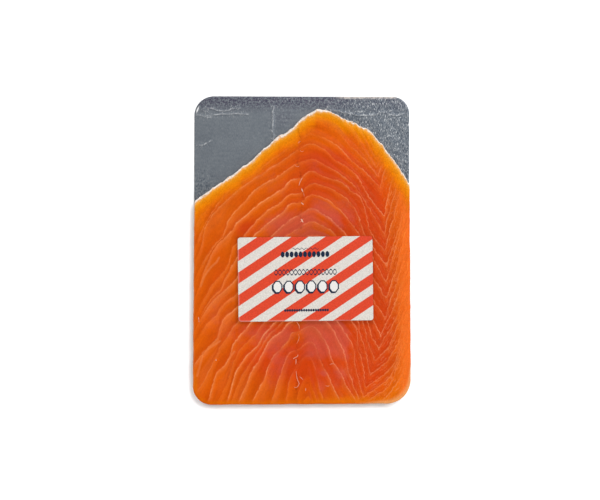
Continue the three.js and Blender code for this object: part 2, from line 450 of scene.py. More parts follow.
@dataclass
class Surface:
    """Points and faces of a piece, in millimetres, with numbers stored on the points."""

    points: Array
    faces: list[Sequence[int]]  # Faces as lists of point numbers
    stored: dict[str, Array] = field(default_factory=dict)  # Numbers for every point, by name

    def piece(
        self,
        name: str,
        material: bpy.types.Material,
        origin: Vector,
        smooth: bool = True,
    ) -> bpy.types.Object:
        """Make an object of it.

        Args:
            name: The object's name.
            material: Its material.
            origin: Where the drawing's origin lies in the frame, mm.
            smooth: Whether its faces are shaded smooth.

        Returns:
            The object.
        """
        mesh = bpy.data.meshes.new(name)
        points = (self.points + np.asarray(origin)) * MM
        mesh.from_pydata(points.tolist(), [], [list(f) for f in self.faces])
        for key, values in self.stored.items():
            attribute = mesh.attributes.new(key, "FLOAT", "POINT")
            attribute.data.foreach_set("value", np.asarray(values, np.float32))
        mesh.materials.append(material)
        mesh.polygons.foreach_set("use_smooth", [smooth] * len(mesh.polygons))
        mesh.validate()
        mesh.update()
        made = bpy.data.objects.new(name, mesh)
        bpy.context.scene.collection.objects.link(made)
        return made


def grid_faces(columns: int, rows: int) -> list[Sequence[int]]:
    """Return the cells, facing up, of a grid of points stored column by column."""
    corners = [i * rows + j for i in range(columns - 1) for j in range(rows - 1)]
    return [(a, a + rows, a + rows + 1, a + 1) for a in corners]


def border_loop(columns: int, rows: int) -> list[int]:
    """Return the border points of such a grid, counter-clockwise from above.

    Args:
        columns: Points across.
        rows: Points in a column.

    Returns:
        Their numbers.
    """
    near = [i * rows for i in range(columns - 1)]
    right = [(columns - 1) * rows + j for j in range(rows - 1)]
    far = [i * rows + rows - 1 for i in range(columns - 1, 0, -1)]
    left = list(range(rows - 1, 0, -1))
    return near + right + far + left


def at_level(points: Array, level: float) -> Array:
    """Return points laid at one level, mm."""
    return np.column_stack([points[:, :2], np.full(len(points), level)])


def inset_loop(points: Array, inset: float) -> Array:
    """Move a closed loop inwards.

    Args:
        points: Its points, counter-clockwise, mm.
        inset: How far, mm.

    Returns:
        The moved points in plan, mm.
    """
    plan = points[:, :2]
    along = np.roll(plan, -1, 0) - np.roll(plan, 1, 0)
    along = along / np.maximum(np.linalg.norm(along, axis=1, keepdims=True), 1e-9)
    return plan + inset * np.stack([-along[:, 1], along[:, 0]], 1)


def add_walls(
    points: Array,
    faces: list[Sequence[int]],
    loop: Sequence[int],
    rings: Iterable[Array],
) -> tuple[Array, list[Sequence[int]]]:
    """Hang rings under a border and close the last one with a flat base.

    Args:
        points: The points so far.
        faces: The faces so far.
        loop: The border's points.
        rings: The rings below it, from the top down, one row of x, y, z a point.

    Returns:
        The points and faces with the walls.
    """
    upper = list(loop)
    for ring in rings:
        lower = list(range(len(points), len(points) + len(upper)))
        points = np.concatenate([points, ring])
        faces += zip(upper, lower, lower[1:] + lower[:1], upper[1:] + upper[:1])
        upper = lower
    base = [Vector((x, y, 0.0)) for x, y, _ in points[upper]]
    for triangle in tessellate_polygon([base]):
        a, b, c = (upper[i] for i in triangle)
        (ax, ay), (bx, by), (cx, cy) = points[a][:2], points[b][:2], points[c][:2]
        area = (bx - ax) * (cy - ay) - (by - ay) * (cx - ax)
        faces.append((c, b, a) if area > 0 else (a, b, c))
    return points, faces


@dataclass
class Sheet:
    """An open sheet of points, column by column, with numbers stored on them."""

    points: Array  # One row of x, y, z a point
    shape: tuple[int, int]  # How many columns and rows it has
    stored: dict[str, Array]

    @property
    def border(self) -> Array:
        """The points round it, counter-clockwise from above."""
        return self.points[border_loop(*self.shape)]

    def closed(self, rings: Sequence[Array]) -> Surface:
        """Close it with walls and a flat base.

        Args:
            rings: The rings under its border, from the top down.

        Returns:
            The closed surface.
        """
        loop = border_loop(*self.shape)
        points, faces = add_walls(self.points, grid_faces(*self.shape), loop, rings)
        stored = {key: np.concatenate([v] + [v[loop]] * len(rings)) for key, v in self.stored.items()}
        return Surface(points, faces, stored)

    def closed_at(self, level: float) -> Surface:
        """Close it with upright walls and a flat base at a level, mm."""
        return self.closed([at_level(self.border, level)])


def shares_round_corners(width: float, first: float, last: float, step: float) -> Array:
    """Divide a width into shares bunched round its two corners.

    Args:
        width: The width, mm.
        first: Radius of the corner at its start, mm.
        last: Radius of the corner at its end, mm.
        step: Size of the even steps between the corners, mm.

    Returns:
        The shares, from 0 to 1.
    """

    def arc(radius: float) -> Array:
        """Return the offsets of even turns round one corner."""
        turns = np.linspace(0, math.pi / 2, max(4, round(radius / step)), endpoint=False)
        return radius * (1 - np.cos(turns))

    count = round((width - first - last) / step)
    middle = np.linspace(first, width - last, count + 1)
    return np.concatenate([arc(first), middle, (width - arc(last))[::-1]]) / width


def distance_to_paths(paths: Iterable[Sequence[Pair]], x: Array, y: Array) -> Array:
    """Return the distance to the nearest of some paths of straight pieces.

    Args:
        paths: The points of each path, mm.
        x, y: The points, mm.

    Returns:
        The distances, mm.
    """
    nearest = np.full(len(x), np.inf)
    pieces = [piece for path in paths for piece in zip(path, path[1:])]
    for (x0, y0), (x1, y1) in pieces:
        dx, dy = x1 - x0, y1 - y0
        share = np.clip(((x - x0) * dx + (y - y0) * dy) / (dx * dx + dy * dy), 0, 1)
        nearest = np.minimum(nearest, np.hypot(x - x0 - share * dx, y - y0 - share * dy))
    return nearest


def corner_cut(along: Array, radius: float) -> Array:
    """Return how far a rounded corner cuts an edge back at distances from its side, mm."""
    inside = np.clip(radius - np.maximum(along, 0.0), 0.0, radius)
    return radius - np.sqrt(radius**2 - inside**2)


@dataclass(frozen=True)
class Frame:
    """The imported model's frame, lined up with the drawing by the label's middle."""

    origin: Vector  # Where the drawing's origin lies

    @classmethod
    def lined_up(cls, middle: Pair) -> Frame:
        """Find the drawing's origin.

        Args:
            middle: The label's middle in the drawing, mm.

        Returns:
            The frame.
        """
        low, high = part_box(Node.LABEL.value)
        centre = (low + high) / 2 / MM
        return cls(Vector((centre.x - middle[0], centre.y - middle[1], 0.0)))

    def hang(
        self,
        surface: Surface,
        name: str,
        material: bpy.types.Material,
        node: Node,
        smooth: bool = True,
    ) -> None:
        """Make a piece and hang it on the frame in place of a solid.

        Args:
            surface: Its shape.
            name: Its name.
            material: Its material.
            node: The solid that it stands for.
            smooth: Whether its faces are shaded smooth.
        """
        piece = surface.piece(name, material, self.origin, smooth)
        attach(piece, Body.ROOT.value)
        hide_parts(node.value)
        LOG.info("%s: %d faces, stands for %s", name, len(surface.faces), node.value)


# The muscle pattern
# ------------------

Line = tuple[tuple[Pair, ...], tuple[Pair, ...]]


@dataclass(frozen=True)
class MusclePattern:
    """The fat lines between the muscles, numbered from the far end of the slice.

    Across the slice a position runs 0 at the left edge, 1 at the crest, 2 in the valley where
    the lines turn back up, and 3 at the right edge.
    """

    left: float = -63.5  # Where position 0 lies
    crest: float = 5.5  # Where position 1 lies
    right: float = 63.5  # Where position 3 lies
    # Points of the valley, from the near end
    valley: tuple[Pair, ...] = (
        (26, -172), (31.5, -106.5), (37, -86.5), (38, -81.5), (39.5, -77), (43.5, -65.5),
        (46, -58), (47, -51), (50, -36.5), (50.5, -9.5), (49.5, 0), (49, 20), (46.5, 37.5),
        (44, 53.5), (42, 77.5),
    )
    # For a line's number, its points down to the valley and the points past it
    lines: Mapping[int, Line] = field(default_factory=lambda: MUSCLE_LINES)
    # For a line's number, how strong it is at the positions in BOLDNESS_AT
    boldness: Mapping[int, tuple[float, ...]] = field(default_factory=lambda: LINE_BOLDNESS)
    least_gap: float = 0.2

    def position(self, x: Array, y: Array) -> Array:
        """Return the position across the slice.

        Args:
            x, y: The points, mm.

        Returns:
            The positions, 0 to 3.
        """
        valley = curve_through(self.valley, 1)(y)
        rising = (x - self.left) / (self.crest - self.left)
        falling = 1 + (x - self.crest) / (valley - self.crest)
        beyond = 2 + (x - valley) / (self.right - valley)
        return np.where(x < self.crest, rising, np.where(x < valley, falling, beyond))

    def number(self, x: Array, y: Array) -> Array:
        """Return the running number of the line at points; lines lie on whole numbers.

        Args:
            x, y: The points, mm.

        Returns:
            The running numbers.
        """
        across = self.position(x, y)
        numbers = sorted(self.lines)
        at = np.asarray(numbers, float)
        heights = np.stack([-self._height(n)(across) for n in numbers])
        steps = np.maximum(np.diff(heights, axis=0), self.least_gap)
        slopes = np.diff(at)[:, None] / steps
        tilts = np.concatenate([slopes[:1], np.zeros_like(slopes[1:]), slopes[-1:]])
        tilts[1:-1] = 2 * slopes[:-1] * slopes[1:] / (slopes[:-1] + slopes[1:])
        below = np.clip((heights <= -y).sum(0) - 1, 0, len(numbers) - 2)
        column = np.arange(len(x))
        step = steps[below, column]
        share = (-y - heights[below, column]) / step
        ends = tilts[below, column], tilts[below + 1, column]
        return hermite(share, step, at[below], at[below + 1], *ends)

    def boldness_at(self, number: Array, across: Array) -> Array:
        """Return how strong a line is.

        Args:
            number: The line's whole number.
            across: The position across the slice.

        Returns:
            Its strength, 0 to 1.
        """
        numbers = sorted(self.boldness)
        below = np.clip(np.searchsorted(numbers, number, side="right") - 1, 0, len(numbers) - 2)
        at = np.asarray(numbers, float)
        share = np.clip((number - at[below]) / (at[below + 1] - at[below]), 0, 1)
        table = np.stack([np.interp(across, BOLDNESS_AT, self.boldness[n]) for n in numbers])
        column = np.arange(len(across))
        return table[below, column] * (1 - share) + table[below + 1, column] * share

    def _height(self, number: int) -> Callable[[Array], Array]:
        """Return the course of a line.

        Args:
            number: The line's number.

        Returns:
            Its height, mm, as a function of the position across.
        """
        before, after = (np.asarray(part, float) for part in self.lines[number])
        turn = before[-1, 1]
        falling = smooth_through([*self.position(*before[:-1].T), 2.0], before[:, 1])
        rising = smooth_through([2.0, *self.position(*after.T)], [turn, *after[:, 1]])
        return lambda across: np.where(across < 2, falling(np.minimum(across, 2)), rising(across))


MUSCLE_LINES: dict[int, Line] = {
    -3: (((-63.5, 39), (-45.5, 53.5), (-24.5, 72.5), (-7, 88), (5.5, 93), (17, 90.5), (28.5, 80),
        (44, 53.5)), ((49.5, 65.5), (63.5, 101))),
    0: (((-63.5, 1.5), (-57.5, 15.5), (-52.5, 23.5), (-46, 33), (-32, 43), (-2.5, 64.5), (5.5, 69),
        (20.5, 62.5), (26.5, 56.5), (36.5, 47.5), (46.5, 37.5)), ((49, 46.5), (52, 52), (63.5, 78.5))),
    1: (((-63.5, -7), (-59, 5), (-58, 12), (-48, 26.5), (-11, 53.5), (5.5, 63), (14, 59.5), (21, 53),
        (28.5, 48.5), (33.5, 43), (40.5, 31), (49, 20)), ((56, 50.5), (63.5, 69))),
    2: (((-63.5, -17.5), (-58.5, -7), (-53, 1.5), (-47, 8.5), (-43, 18), (-33, 30), (-26, 37),
        (-17.5, 42), (5.5, 54), (14, 50.5), (31.5, 38), (40.5, 24.5), (49, 9.5)), ((50.5, 17), (56, 36),
        (63.5, 59.5))),
    3: (((-63.5, -28.5), (-55.5, -7), (-52.5, 0), (-42, 11), (-39, 15.5), (-32.5, 21), (-26.5, 26.5),
        (-11, 37), (-5, 42), (-1.5, 42.5), (5.5, 47), (14, 43.5), (23.5, 40.5), (28.5, 36),
        (35.5, 30.5), (40.5, 12), (49.5, 0)), ((55.5, 24), (63.5, 47.5))),
    4: (((-63.5, -40), (-58.5, -29.5), (-53, -20.5), (-43, -7), (-41.5, 0), (-36.5, 6), (-20.5, 23.5),
        (-14, 27.5), (-5.5, 33.5), (-1.5, 33.5), (3, 38), (6, 39.5), (15.5, 37.5), (30, 27.5), (37, 11),
        (50.5, -9.5)), ((55, 4.5), (59.5, 20), (63.5, 36))),
    5: (((-63.5, -44.5), (-52, -27), (-48, -23), (-45, -16.5), (-39, -5.5), (-26, 11), (-12, 22),
        (-5.5, 28), (-1.5, 28.5), (6, 33), (15, 30), (30, 15.5), (49.5, -19.5)), ((51.5, -13), (56, 2),
        (63.5, 27))),
    6: (((-63.5, -47), (-60.5, -41.5), (-54, -32), (-41.5, -20), (-23.5, 2.5), (-7, 18), (-1.5, 21),
        (6, 25), (12, 22), (25, 11), (39.5, -11.5), (50, -28.5)), ((55, -14.5), (63.5, 17))),
    8: (((-63.5, -67.5), (-54.5, -56.5), (-50, -52), (-48.5, -46), (-45, -39.5), (-40.5, -36),
        (-30.5, -23.5), (-7, 2), (-1.5, 5), (5.5, 9), (17, 6), (28.5, -10), (43, -42.5), (47, -51)),
        ((50, -43.5), (56, -30), (63.5, -7))),
    10: (((-63.5, -108), (-56.5, -92), (-54, -85), (-52, -77), (-50, -72), (-45.5, -68), (-43, -63.5),
        (-40.5, -56), (-36, -50), (-1.5, -13), (5.5, -7), (17, -11.5), (27.5, -27), (37.5, -47),
        (40, -56), (44, -65.5)), ((51.5, -57.5), (57, -44.5), (63.5, -29.5))),
    12: (((-63.5, -143.5), (-43, -86), (-38.5, -71.5), (-32, -62), (-27, -57.5), (-23, -51),
        (-1.5, -29), (5.5, -24), (23, -36), (33, -48), (33.5, -57.5), (35.5, -65), (38, -81.5)),
        ((55, -67), (59, -56), (63.5, -42.5))),
    14: (((-63.5, -175), (-39.5, -96), (-32.5, -78.5), (-29.5, -71.5), (-25.5, -65.5), (-18, -52.5),
        (-13, -49), (-7.5, -43.5), (5.5, -37), (17.5, -45), (20.5, -51), (25, -60.5), (28.5, -73),
        (36, -92.5)), ((44, -86), (51.5, -80.5), (55.5, -72), (58.5, -64), (63.5, -50))),
    15: (((-63.5, -192.5), (-30.5, -93), (-21.5, -74.5), (-17.5, -64), (-8.5, -54), (-5.5, -49),
        (-1.5, -48), (5.5, -45), (12.5, -51), (18.5, -66), (23, -72), (26.5, -80), (31, -87),
        (34, -97.5)), ((49.5, -87.5), (58.5, -75.5), (63.5, -60.5))),
    16: (((-63.5, -207.5), (-19.5, -94.5), (-13, -75.5), (-7, -61), (-1.5, -58.5), (5.5, -54),
        (12.5, -68), (23, -90), (31.5, -108)), ((49.5, -96), (58.5, -86), (63.5, -72))),
    17: (((-63.5, -220.5), (-10.5, -94.5), (-6.5, -75), (4, -62.5), (7, -67.5), (12, -86), (17, -97.5),
        (30.5, -118.5)), ((49.5, -103.5), (63.5, -84))),
    18: (((-63.5, -234), (-4.5, -94.5), (-1.5, -83), (4, -73.5), (6, -80), (14, -103.5),
        (28.5, -133.5)), ((45, -112), (63.5, -96))),
    22: (((-63.5, -284.5), (-1, -130), (24.5, -172)), ((45, -150), (63.5, -136.5))),
}

BOLDNESS_AT = (0.0, 0.35, 0.7, 1.0, 1.5, 2.0, 2.6)
LINE_BOLDNESS: dict[int, tuple[float, ...]] = {
    -3: (0.0, 0.0, 0.0, 0.0, 0.0, 0.1, 0.3),
    -2: (0.0, 0.0, 0.0, 0.0, 0.1, 0.3, 0.4),
    -1: (0.1, 0.1, 0.1, 0.0, 0.15, 0.45, 0.5),
    0: (0.3, 0.4, 0.25, 0.08, 0.55, 0.5, 0.5),
    1: (0.6, 0.65, 0.45, 0.22, 0.35, 0.85, 0.6),
    2: (0.45, 0.65, 0.7, 0.2, 0.42, 0.6, 0.5),
    3: (0.8, 0.85, 1.0, 0.3, 0.45, 0.65, 0.6),
    4: (0.35, 0.3, 0.85, 0.22, 0.55, 0.65, 0.6),
    5: (0.3, 0.65, 0.95, 0.3, 0.55, 0.65, 0.55),
    6: (0.85, 0.9, 0.7, 0.45, 0.65, 0.7, 0.55),
    7: (0.2, 0.65, 0.3, 0.4, 0.6, 0.65, 0.5),
    8: (0.7, 1.0, 0.6, 0.6, 0.6, 0.8, 0.6),
    9: (0.2, 0.35, 0.5, 0.5, 0.5, 0.75, 0.5),
    10: (0.9, 0.85, 0.85, 0.5, 0.5, 0.5, 0.5),
    11: (0.08, 0.1, 0.4, 0.4, 0.5, 0.5, 0.45),
    12: (0.95, 0.95, 0.95, 0.4, 0.5, 0.5, 0.5),
    13: (0.06, 0.08, 0.3, 0.45, 0.6, 0.45, 0.5),
    14: (0.9, 0.95, 0.9, 0.25, 0.7, 0.8, 0.55),
    15: (0.8, 0.8, 0.6, 0.15, 0.95, 0.9, 0.6),
    16: (0.8, 0.75, 0.4, 0.12, 0.75, 0.7, 0.5),
    17: (0.5, 0.4, 0.25, 0.1, 0.5, 0.6, 0.4),
    18: (0.3, 0.2, 0.15, 0.06, 0.3, 0.4, 0.4),
    22: (0.2, 0.1, 0.1, 0.05, 0.2, 0.3, 0.3),
}
STRANDS: tuple[tuple[Pair, ...], ...] = (
    ((-60.0, -21.4), (-58.0, -15.6), (-53.8, -9.9), (-50.4, -6.9), (-49.0, -4.2)),
    ((-62.1, -74.5), (-59.7, -66.2), (-58.6, -60.9), (-53.8, -57.2), (-48.4, -53.8)),
    ((-43.7, -65.6), (-41.8, -62.2), (-39.9, -60.1)),
)


# Tones laid over the top slice
# -----------------------------


@dataclass(frozen=True)
class Patch:
    """A soft oval of tone."""

    x: float  # Its middle
    y: float
    long: float  # Half of its length
    short: float  # Half of its width
    turn: float = 0.0  # How far its length is turned from +X, degrees
    strength: float = 1.0  # Its strength in the middle

    def weight(self, x: Array, y: Array) -> Array:
        """Return its strength at points.

        Args:
            x, y: The points, mm.

        Returns:
            The strengths.
        """
        turn = math.radians(self.turn)
        dx, dy = x - self.x, y - self.y
        along = (dx * math.cos(turn) + dy * math.sin(turn)) / self.long
        aside = (dy * math.cos(turn) - dx * math.sin(turn)) / self.short
        return self.strength * np.exp(-(along**2 + aside**2))


@dataclass(frozen=True)
class MuscleTone:
    """A tone on part of the muscles between two lines, with fairly sharp borders."""

    first: float  # Running number of the line that it starts at
    last: float  # Running number of the line that it ends at
    across: Pair  # From where to where it goes along X
    strength: float
    along: Pair = (-120.0, 120.0)  # From where to where it goes along Y
    soft: Pair = (5.0, 4.0)  # How soft its ends are along X and Y

    def weight(self, x: Array, y: Array, number: Array) -> Array:
        """Return its strength at points.

        Args:
            x, y: The points, mm.
            number: Running number of the muscle line.

        Returns:
            The strengths.
        """
        (left, right), (near, far) = self.across, self.along
        weight = rise(self.first - 0.04, self.first + 0.06, number)
        weight = weight * rise(self.last + 0.06, self.last - 0.12, number)
        a, b = self.soft
        weight = weight * rise(left - a, left + a, x) * rise(right + a, right - a, x)
        weight = weight * rise(near - b, near + b, y) * rise(far + b, far - b, y)
        return self.strength * weight


def summed(tones: Iterable[Patch | MuscleTone], *where: Array) -> Array:
    """Return the summed strength of tones at points."""
    return sum(tone.weight(*where) for tone in tones)


@dataclass(frozen=True)
class FleshTones:
    """Where the flesh is redder, pale or hazy with a painted reflection, and where painted shade falls
    beside the label.
    """

    # Patches that lean towards red
    red: tuple[Patch, ...] = many(
        Patch,
        (10, 40, 24, 30, 0, 0.7), (42, -12, 13, 56, 0, 1.1), (34, -56, 18, 26, 0, 1.2),
        (2, -70, 26, 16, 0, 0.8), (20, 58, 16, 12, 0, 0.35), (-14, 10, 16, 14, 0, 0.35),
        (38, 26, 10, 20, 0, 0.5), (-34, 13, 8, 6, 45, 0.7), (23, 15, 8, 7, 0, 0.7),
        (-24, -62, 14, 14, 0, 0.35), (-44, -62, 18, 30, 0, 0.3), (-16, -46, 22, 5, 0, 0.7),
        (-50, -20, 10, 26, 0, 0.3), (4, -62, 22, 10, 0, 0.5), (27, -62, 8, 14, 0, 0.6),
        (15, 66, 12, 6, -15, -0.6), (40, 57, 8, 6, -45, -0.5), (36, 5, 12, 6, 0, 0.3),
        (33, -60, 7, 12, 0, 0.4),
    )
    # Patches with a pinkish cast, a painted reflection of the clear film over the flesh
    haze: tuple[Patch, ...] = many(
        Patch,
        (-4, 14, 22, 7, 0, 0.8), (12, -47, 16, 7, 0, 0.5), (23, -72, 5, 4, 0, 0.6),
        (-8, -66, 5, 12, -20, 0.3), (-12, 20, 12, 7, 35, 0.4), (-24, -62, 16, 14, 0, 0.25),
        (-15, 37, 9, 6, 40, 0.4), (-24, -49, 18, 7, 0, 0.5), (-50, -40, 12, 12, 50, 0.3),
        (13.3, -73.0, 1.9, 1.4, 0, 0.9), (-24, 47, 17, 8, 38, 0.35), (24, -78, 10, 6, 0, 0.3),
    )
    # Muscles with that cast
    hazy_muscles: tuple[MuscleTone, ...] = many(
        MuscleTone,
        (5.15, 6.15, (6, 24), 0.7), (4.05, 5.0, (20, 33), 0.5, (10, 33)), (6.0, 7.0, (-16, 8), 0.55),
        (7.6, 9.0, (-8, 26), 0.75), (12.6, 30.0, (1.5, 27), 0.75, (-64.5, -41)),
        (13.0, 14.0, (18, 29), 0.4, (-66, -42)), (14.0, 15.0, (-24, -6), 0.45, (-62, -42)),
        (15.0, 16.0, (-22, -7), 0.35, (-84, -58)), (16.0, 17.2, (2, 16), 0.4, (-86, -68)),
        (2.0, 3.0, (-2, 14), 0.3),
    )
    # Light patches beside the strong fat lines
    pale: tuple[Patch, ...] = many(
        Patch,
        (-50, -31, 12, 4.0, 62, 0.6), (-45, -44, 8, 3.0, 68, 0.8), (-41, 17, 9, 4.0, 50, 0.4),
        (17, 27, 7, 3.0, -30, 0.5), (22, -58, 8, 3.0, -70, 0.5), (-23, -84, 12, 2.5, 75, 0.4),
        (-36, -84, 12, 2.5, 72, 0.4), (26, -72, 3, 2.5, 0, 0.6),
    )
    # Patches that are brighter, or darker below 0; the dark one just past the label's far edge is painted
    # shade of the label
    lit: tuple[Patch, ...] = many(
        Patch,
        (26, 59, 19, 11, -35, 1.0), (48, 34, 5, 13, 0, 1.1), (-57, -43, 5, 6, 0, 0.9),
        (-26, -60, 14, 10, 0, 1.2), (5, -76, 14, 8, 0, 0.6), (47, -80, 9, 9, 0, 1.1),
        (-50, -81, 6, 7, 0, 0.9), (23, -63, 7, 12, 0, 0.8), (37, -66, 10, 24, 0, 0.5),
        (-57, -7, 5, 5, 0, -0.9), (12, 11.5, 24, 4.5, 0, -1.2), (-12, 80, 4, 3, 0, -0.5),
    )
    # Light parts of muscles
    light: tuple[MuscleTone, ...] = many(
        MuscleTone,
        (3.0, 3.35, (-60, -38), 0.5), (8.0, 8.4, (-52, -40), 0.7), (8.5, 9.1, (-62, -50), 0.5),
        (6.0, 6.5, (-60, -40), 0.5), (5.0, 5.4, (-52, -36), 0.4), (1.0, 1.5, (-60, -44), 0.4),
        (10.4, 10.9, (-50, -36), 0.35), (14.0, 14.4, (-38, -12), 0.4), (16.0, 16.4, (-26, -8), 0.45),
    )
    # Points of the seam down the middle, from the near end
    seam: tuple[Pair, ...] = (
        (-3.2, -92), (-3.0, -80), (-2.4, -66), (-3.2, -54), (-1.8, -44), (-0.6, 10), (-0.4, 22),
        (0.4, 34), (-0.8, 44), (-2.2, 54), (-0.6, 62), (-1.2, 72), (0.0, 80),
    )

    def away_from_label(self, x: Array, y: Array) -> Array:
        """Return how far points lie from the label.

        Args:
            x, y: The points, mm.

        Returns:
            The distances from its edge, mm, below 0 under it.
        """
        across = np.abs(x - LABEL_MIDDLE[0]) - LABEL_SIZE[0] / 2
        along = np.abs(y - LABEL_MIDDLE[1]) - LABEL_SIZE[1] / 2
        outside = np.hypot(np.maximum(across, 0), np.maximum(along, 0))
        return outside + np.minimum(np.maximum(across, along), 0)

    def fields(self, x: Array, y: Array, number: Array) -> dict[str, Array]:
        """Return the tones at points.

        Args:
            x, y: The points, mm.
            number: Running number of the muscle line.

        Returns:
            The tones, by the name that they are stored under.
        """
        hazy_muscles = summed(self.hazy_muscles, x, y, number)
        light = summed(self.light, x, y, number)
        return {
            "red": np.clip(summed(self.red, x, y), 0, 1),
            "haze": np.clip(summed(self.haze, x, y) + hazy_muscles, 0, 1),
            "pale": np.clip(summed(self.pale, x, y) + light, 0, 1),
            "lit": np.clip(summed(self.lit, x, y), -1.2, 1.2),
            "seam": np.clip(x - curve_through(self.seam, 1)(y), -9, 9),
            # Distance from the label, moved towards its left and near sides, for its painted shadow
            "label": np.clip(self.away_from_label(x + 0.5, y + 0.9), -3, 9),
        }


# Finishes
# --------


@dataclass(frozen=True)
class SalmonFinish:
    """Moist smoked salmon, with pale fat lines between its muscles and an amber edge."""

    name: str = "smoked_salmon"
    orange: Rgb = rgb(227, 102, 8)  # The flesh just past a fat line
    deep: Rgb = rgb(212, 79, 0)  # The flesh before the next line
    red: Rgb = rgb(209, 65, 10)  # The redder flesh of the middle and right
    haze_tint: Rgb = rgb(204, 84, 70)  # The milky pink cast, a painted reflection of the clear film over the flesh
    fat: Rgb = rgb(249, 155, 88)  # The fat lines
    fat_pink: Rgb = rgb(247, 144, 104)  # The fat lines in red flesh and under the painted reflection
    pale_tint: Rgb = rgb(233, 114, 52)  # Flesh beside a strong fat line
    side_tint: Rgb = rgb(250, 111, 32)  # The lighter flesh along the right side
    side_streak: Rgb = rgb(250, 146, 58)  # The light streaks in it
    amber: Rgb = rgb(230, 114, 0)  # The smoked flesh near the outer edges
    rim_highlight_tint: Rgb = rgb(244, 176, 110)  # The thin light border of the left side and near right corner: pale flesh with a painted highlight of the rounded edge
    tatter_highlight_tint: Rgb = rgb(255, 246, 236)  # The white tatters of the far edge: pale membrane with a painted highlight of the rounded edge
    edge_reach: float = 12.0  # How far the smoked far edge goes in
    # Its colours, by the share of that reach; the whitish first ones are pale flesh with a painted
    # highlight of the rounded edge
    edge: tuple[tuple[float, Rgb], ...] = (
        (0.0, rgb(238, 222, 210)), (0.06, rgb(232, 186, 148)), (0.12, rgb(240, 170, 80)),
        (0.2, rgb(243, 152, 22)), (0.36, rgb(239, 134, 0)), (0.6, rgb(235, 117, 0)),
        (1.0, rgb(228, 103, 4)),
    )
    gloss: float = 0.34  # Roughness of the moist surface

    def material(self) -> bpy.types.Material:
        """Make the material.

        Returns:
            The material.
        """
        net = Net.for_material(self.name)
        place = net.place()
        wander = (net.noise(place, 5.0, 4.0, 0.65) - 0.5) * 2.2
        restless = 0.9 + net.stored("fine") * 0.7
        wander = wander + (net.noise(place, 1.8, 2.0, 0.6) - 0.5) * restless
        pitch = net.stored("pitch")
        number = net.stored("muscle") + wander / pitch
        lines = self._lines(place, number, pitch, wander)
        fibre = self._along(place / 16.0, number * 4.5)
        streak = self._along(place / 7.0, number * 12.0)
        color = self._flesh(place, number)
        streaks = streak.rise(0.54, 0.72) * net.stored("fine") * 0.1
        blush = net.stored("red") * 0.7 + net.stored("haze") * 0.6
        color = net.mix(lines.most(streaks), color, net.mix(blush, self.fat, self.fat_pink))
        color = self._edges(place, color, streak)
        color = color * (1 - self._seam(place))
        cloud = (net.noise(place, 2.6, 3.0, 0.65) - 0.5) * (0.16 + net.stored("far").rise(26.0, 6.0) * 0.2)
        grain = net.noise(place * (1.0, 0.6, 1.0), 0.75, 3.0, 0.7)
        speckle = net.noise(place * (1.0, 0.7, 1.0), 0.5, 1.0) - 0.5
        rough = 0.16 + net.stored("fine") * 0.22 + net.stored("far").rise(16.0, 3.0) * 0.34
        color = color * (1 + cloud + (fibre - 0.5) * 0.36 + (grain - 0.5) * 0.34 + speckle * rough)
        return net.surface({
            "Base Color": color,
            "Roughness": self.gloss + grain * 0.12 + lines * 0.08,
            "Specular IOR Level": 0.04,
            "Normal": net.bump(grain * 0.4 + fibre * 0.6 + lines * 0.5, 0.35, 0.08),
        })

    def _lines(self, place: Signal, number: Signal, pitch: Signal, wander: Signal) -> Signal:
        """Return how much of the fat lines shows.

        Args:
            place: The place, mm.
            number: Running number of the muscle line.
            pitch: Distance from one muscle line to the next, mm.
            wander: How far the lines stray, mm.

        Returns:
            The share that shows, 0 to 1.
        """
        net = place.net
        fine = net.stored("fine")
        uneven = net.noise(place, 5.0, 3.0, 0.6).rise(0.32, 0.64)
        tail = 0.3 + net.noise(place, 9.0, 1.0) * 0.7
        crisp = (1 - net.stored("soft") * 0.6) * (0.3 + uneven * 0.7)
        crisp = crisp * (1 - abs(net.stored("seam") + wander * 0.8).rise(2.8, 0.9) * 0.7)
        strength = net.stored("bold") * (0.9 - fine * 0.06) * crisp
        main = self._line(number, pitch, 1.0, 0.4, tail * (1 - fine * 0.4)) * strength
        soft = self._line(number, pitch, 1.0, 0.9, 2.4) * net.stored("bold") * (0.16 - fine * 0.12)
        strand = (net.stored("strand") + abs(wander) * 0.3).rise(1.1, 0.15) * 0.3
        breaks = net.noise(place, 3.0, 2.0).rise(0.42, 0.66)
        sway = (net.noise(place, 4.0, 3.0, 0.65) - 0.5) * 2.4
        hair = self._line(number + sway / pitch, pitch, 3.0, 0.3, 0.4) * breaks
        hair = hair * (fine * 0.14 + net.stored("flank") * 0.2)
        return main.most(strand).most(hair).most(soft)

    @staticmethod
    def _line(number: Signal, pitch: Signal, count: float, before: float, after: Operand) -> Signal:
        """Return 1 on evenly numbered lines, falling to 0 before and after them, mm."""
        apart = ((number * count + 0.5).fraction() - 0.5) * pitch / count
        return apart.rise(-before, -0.1) * (1 - ((apart - 0.12) / after).rise(0.0, 1.0))

    @staticmethod
    def _along(place: Signal, number: Signal) -> Signal:
        """Return streaks that run along the muscles.

        Args:
            place: The place, scaled.
            number: The line's running number, scaled.

        Returns:
            The streaks, 0 to 1.
        """
        x, y, _ = place.parts()
        where = place.net.node("ShaderNodeCombineXYZ", {}, {0: x, 1: y, 2: number})
        return place.net.noise(where, 1.0, 3.0, 0.6)

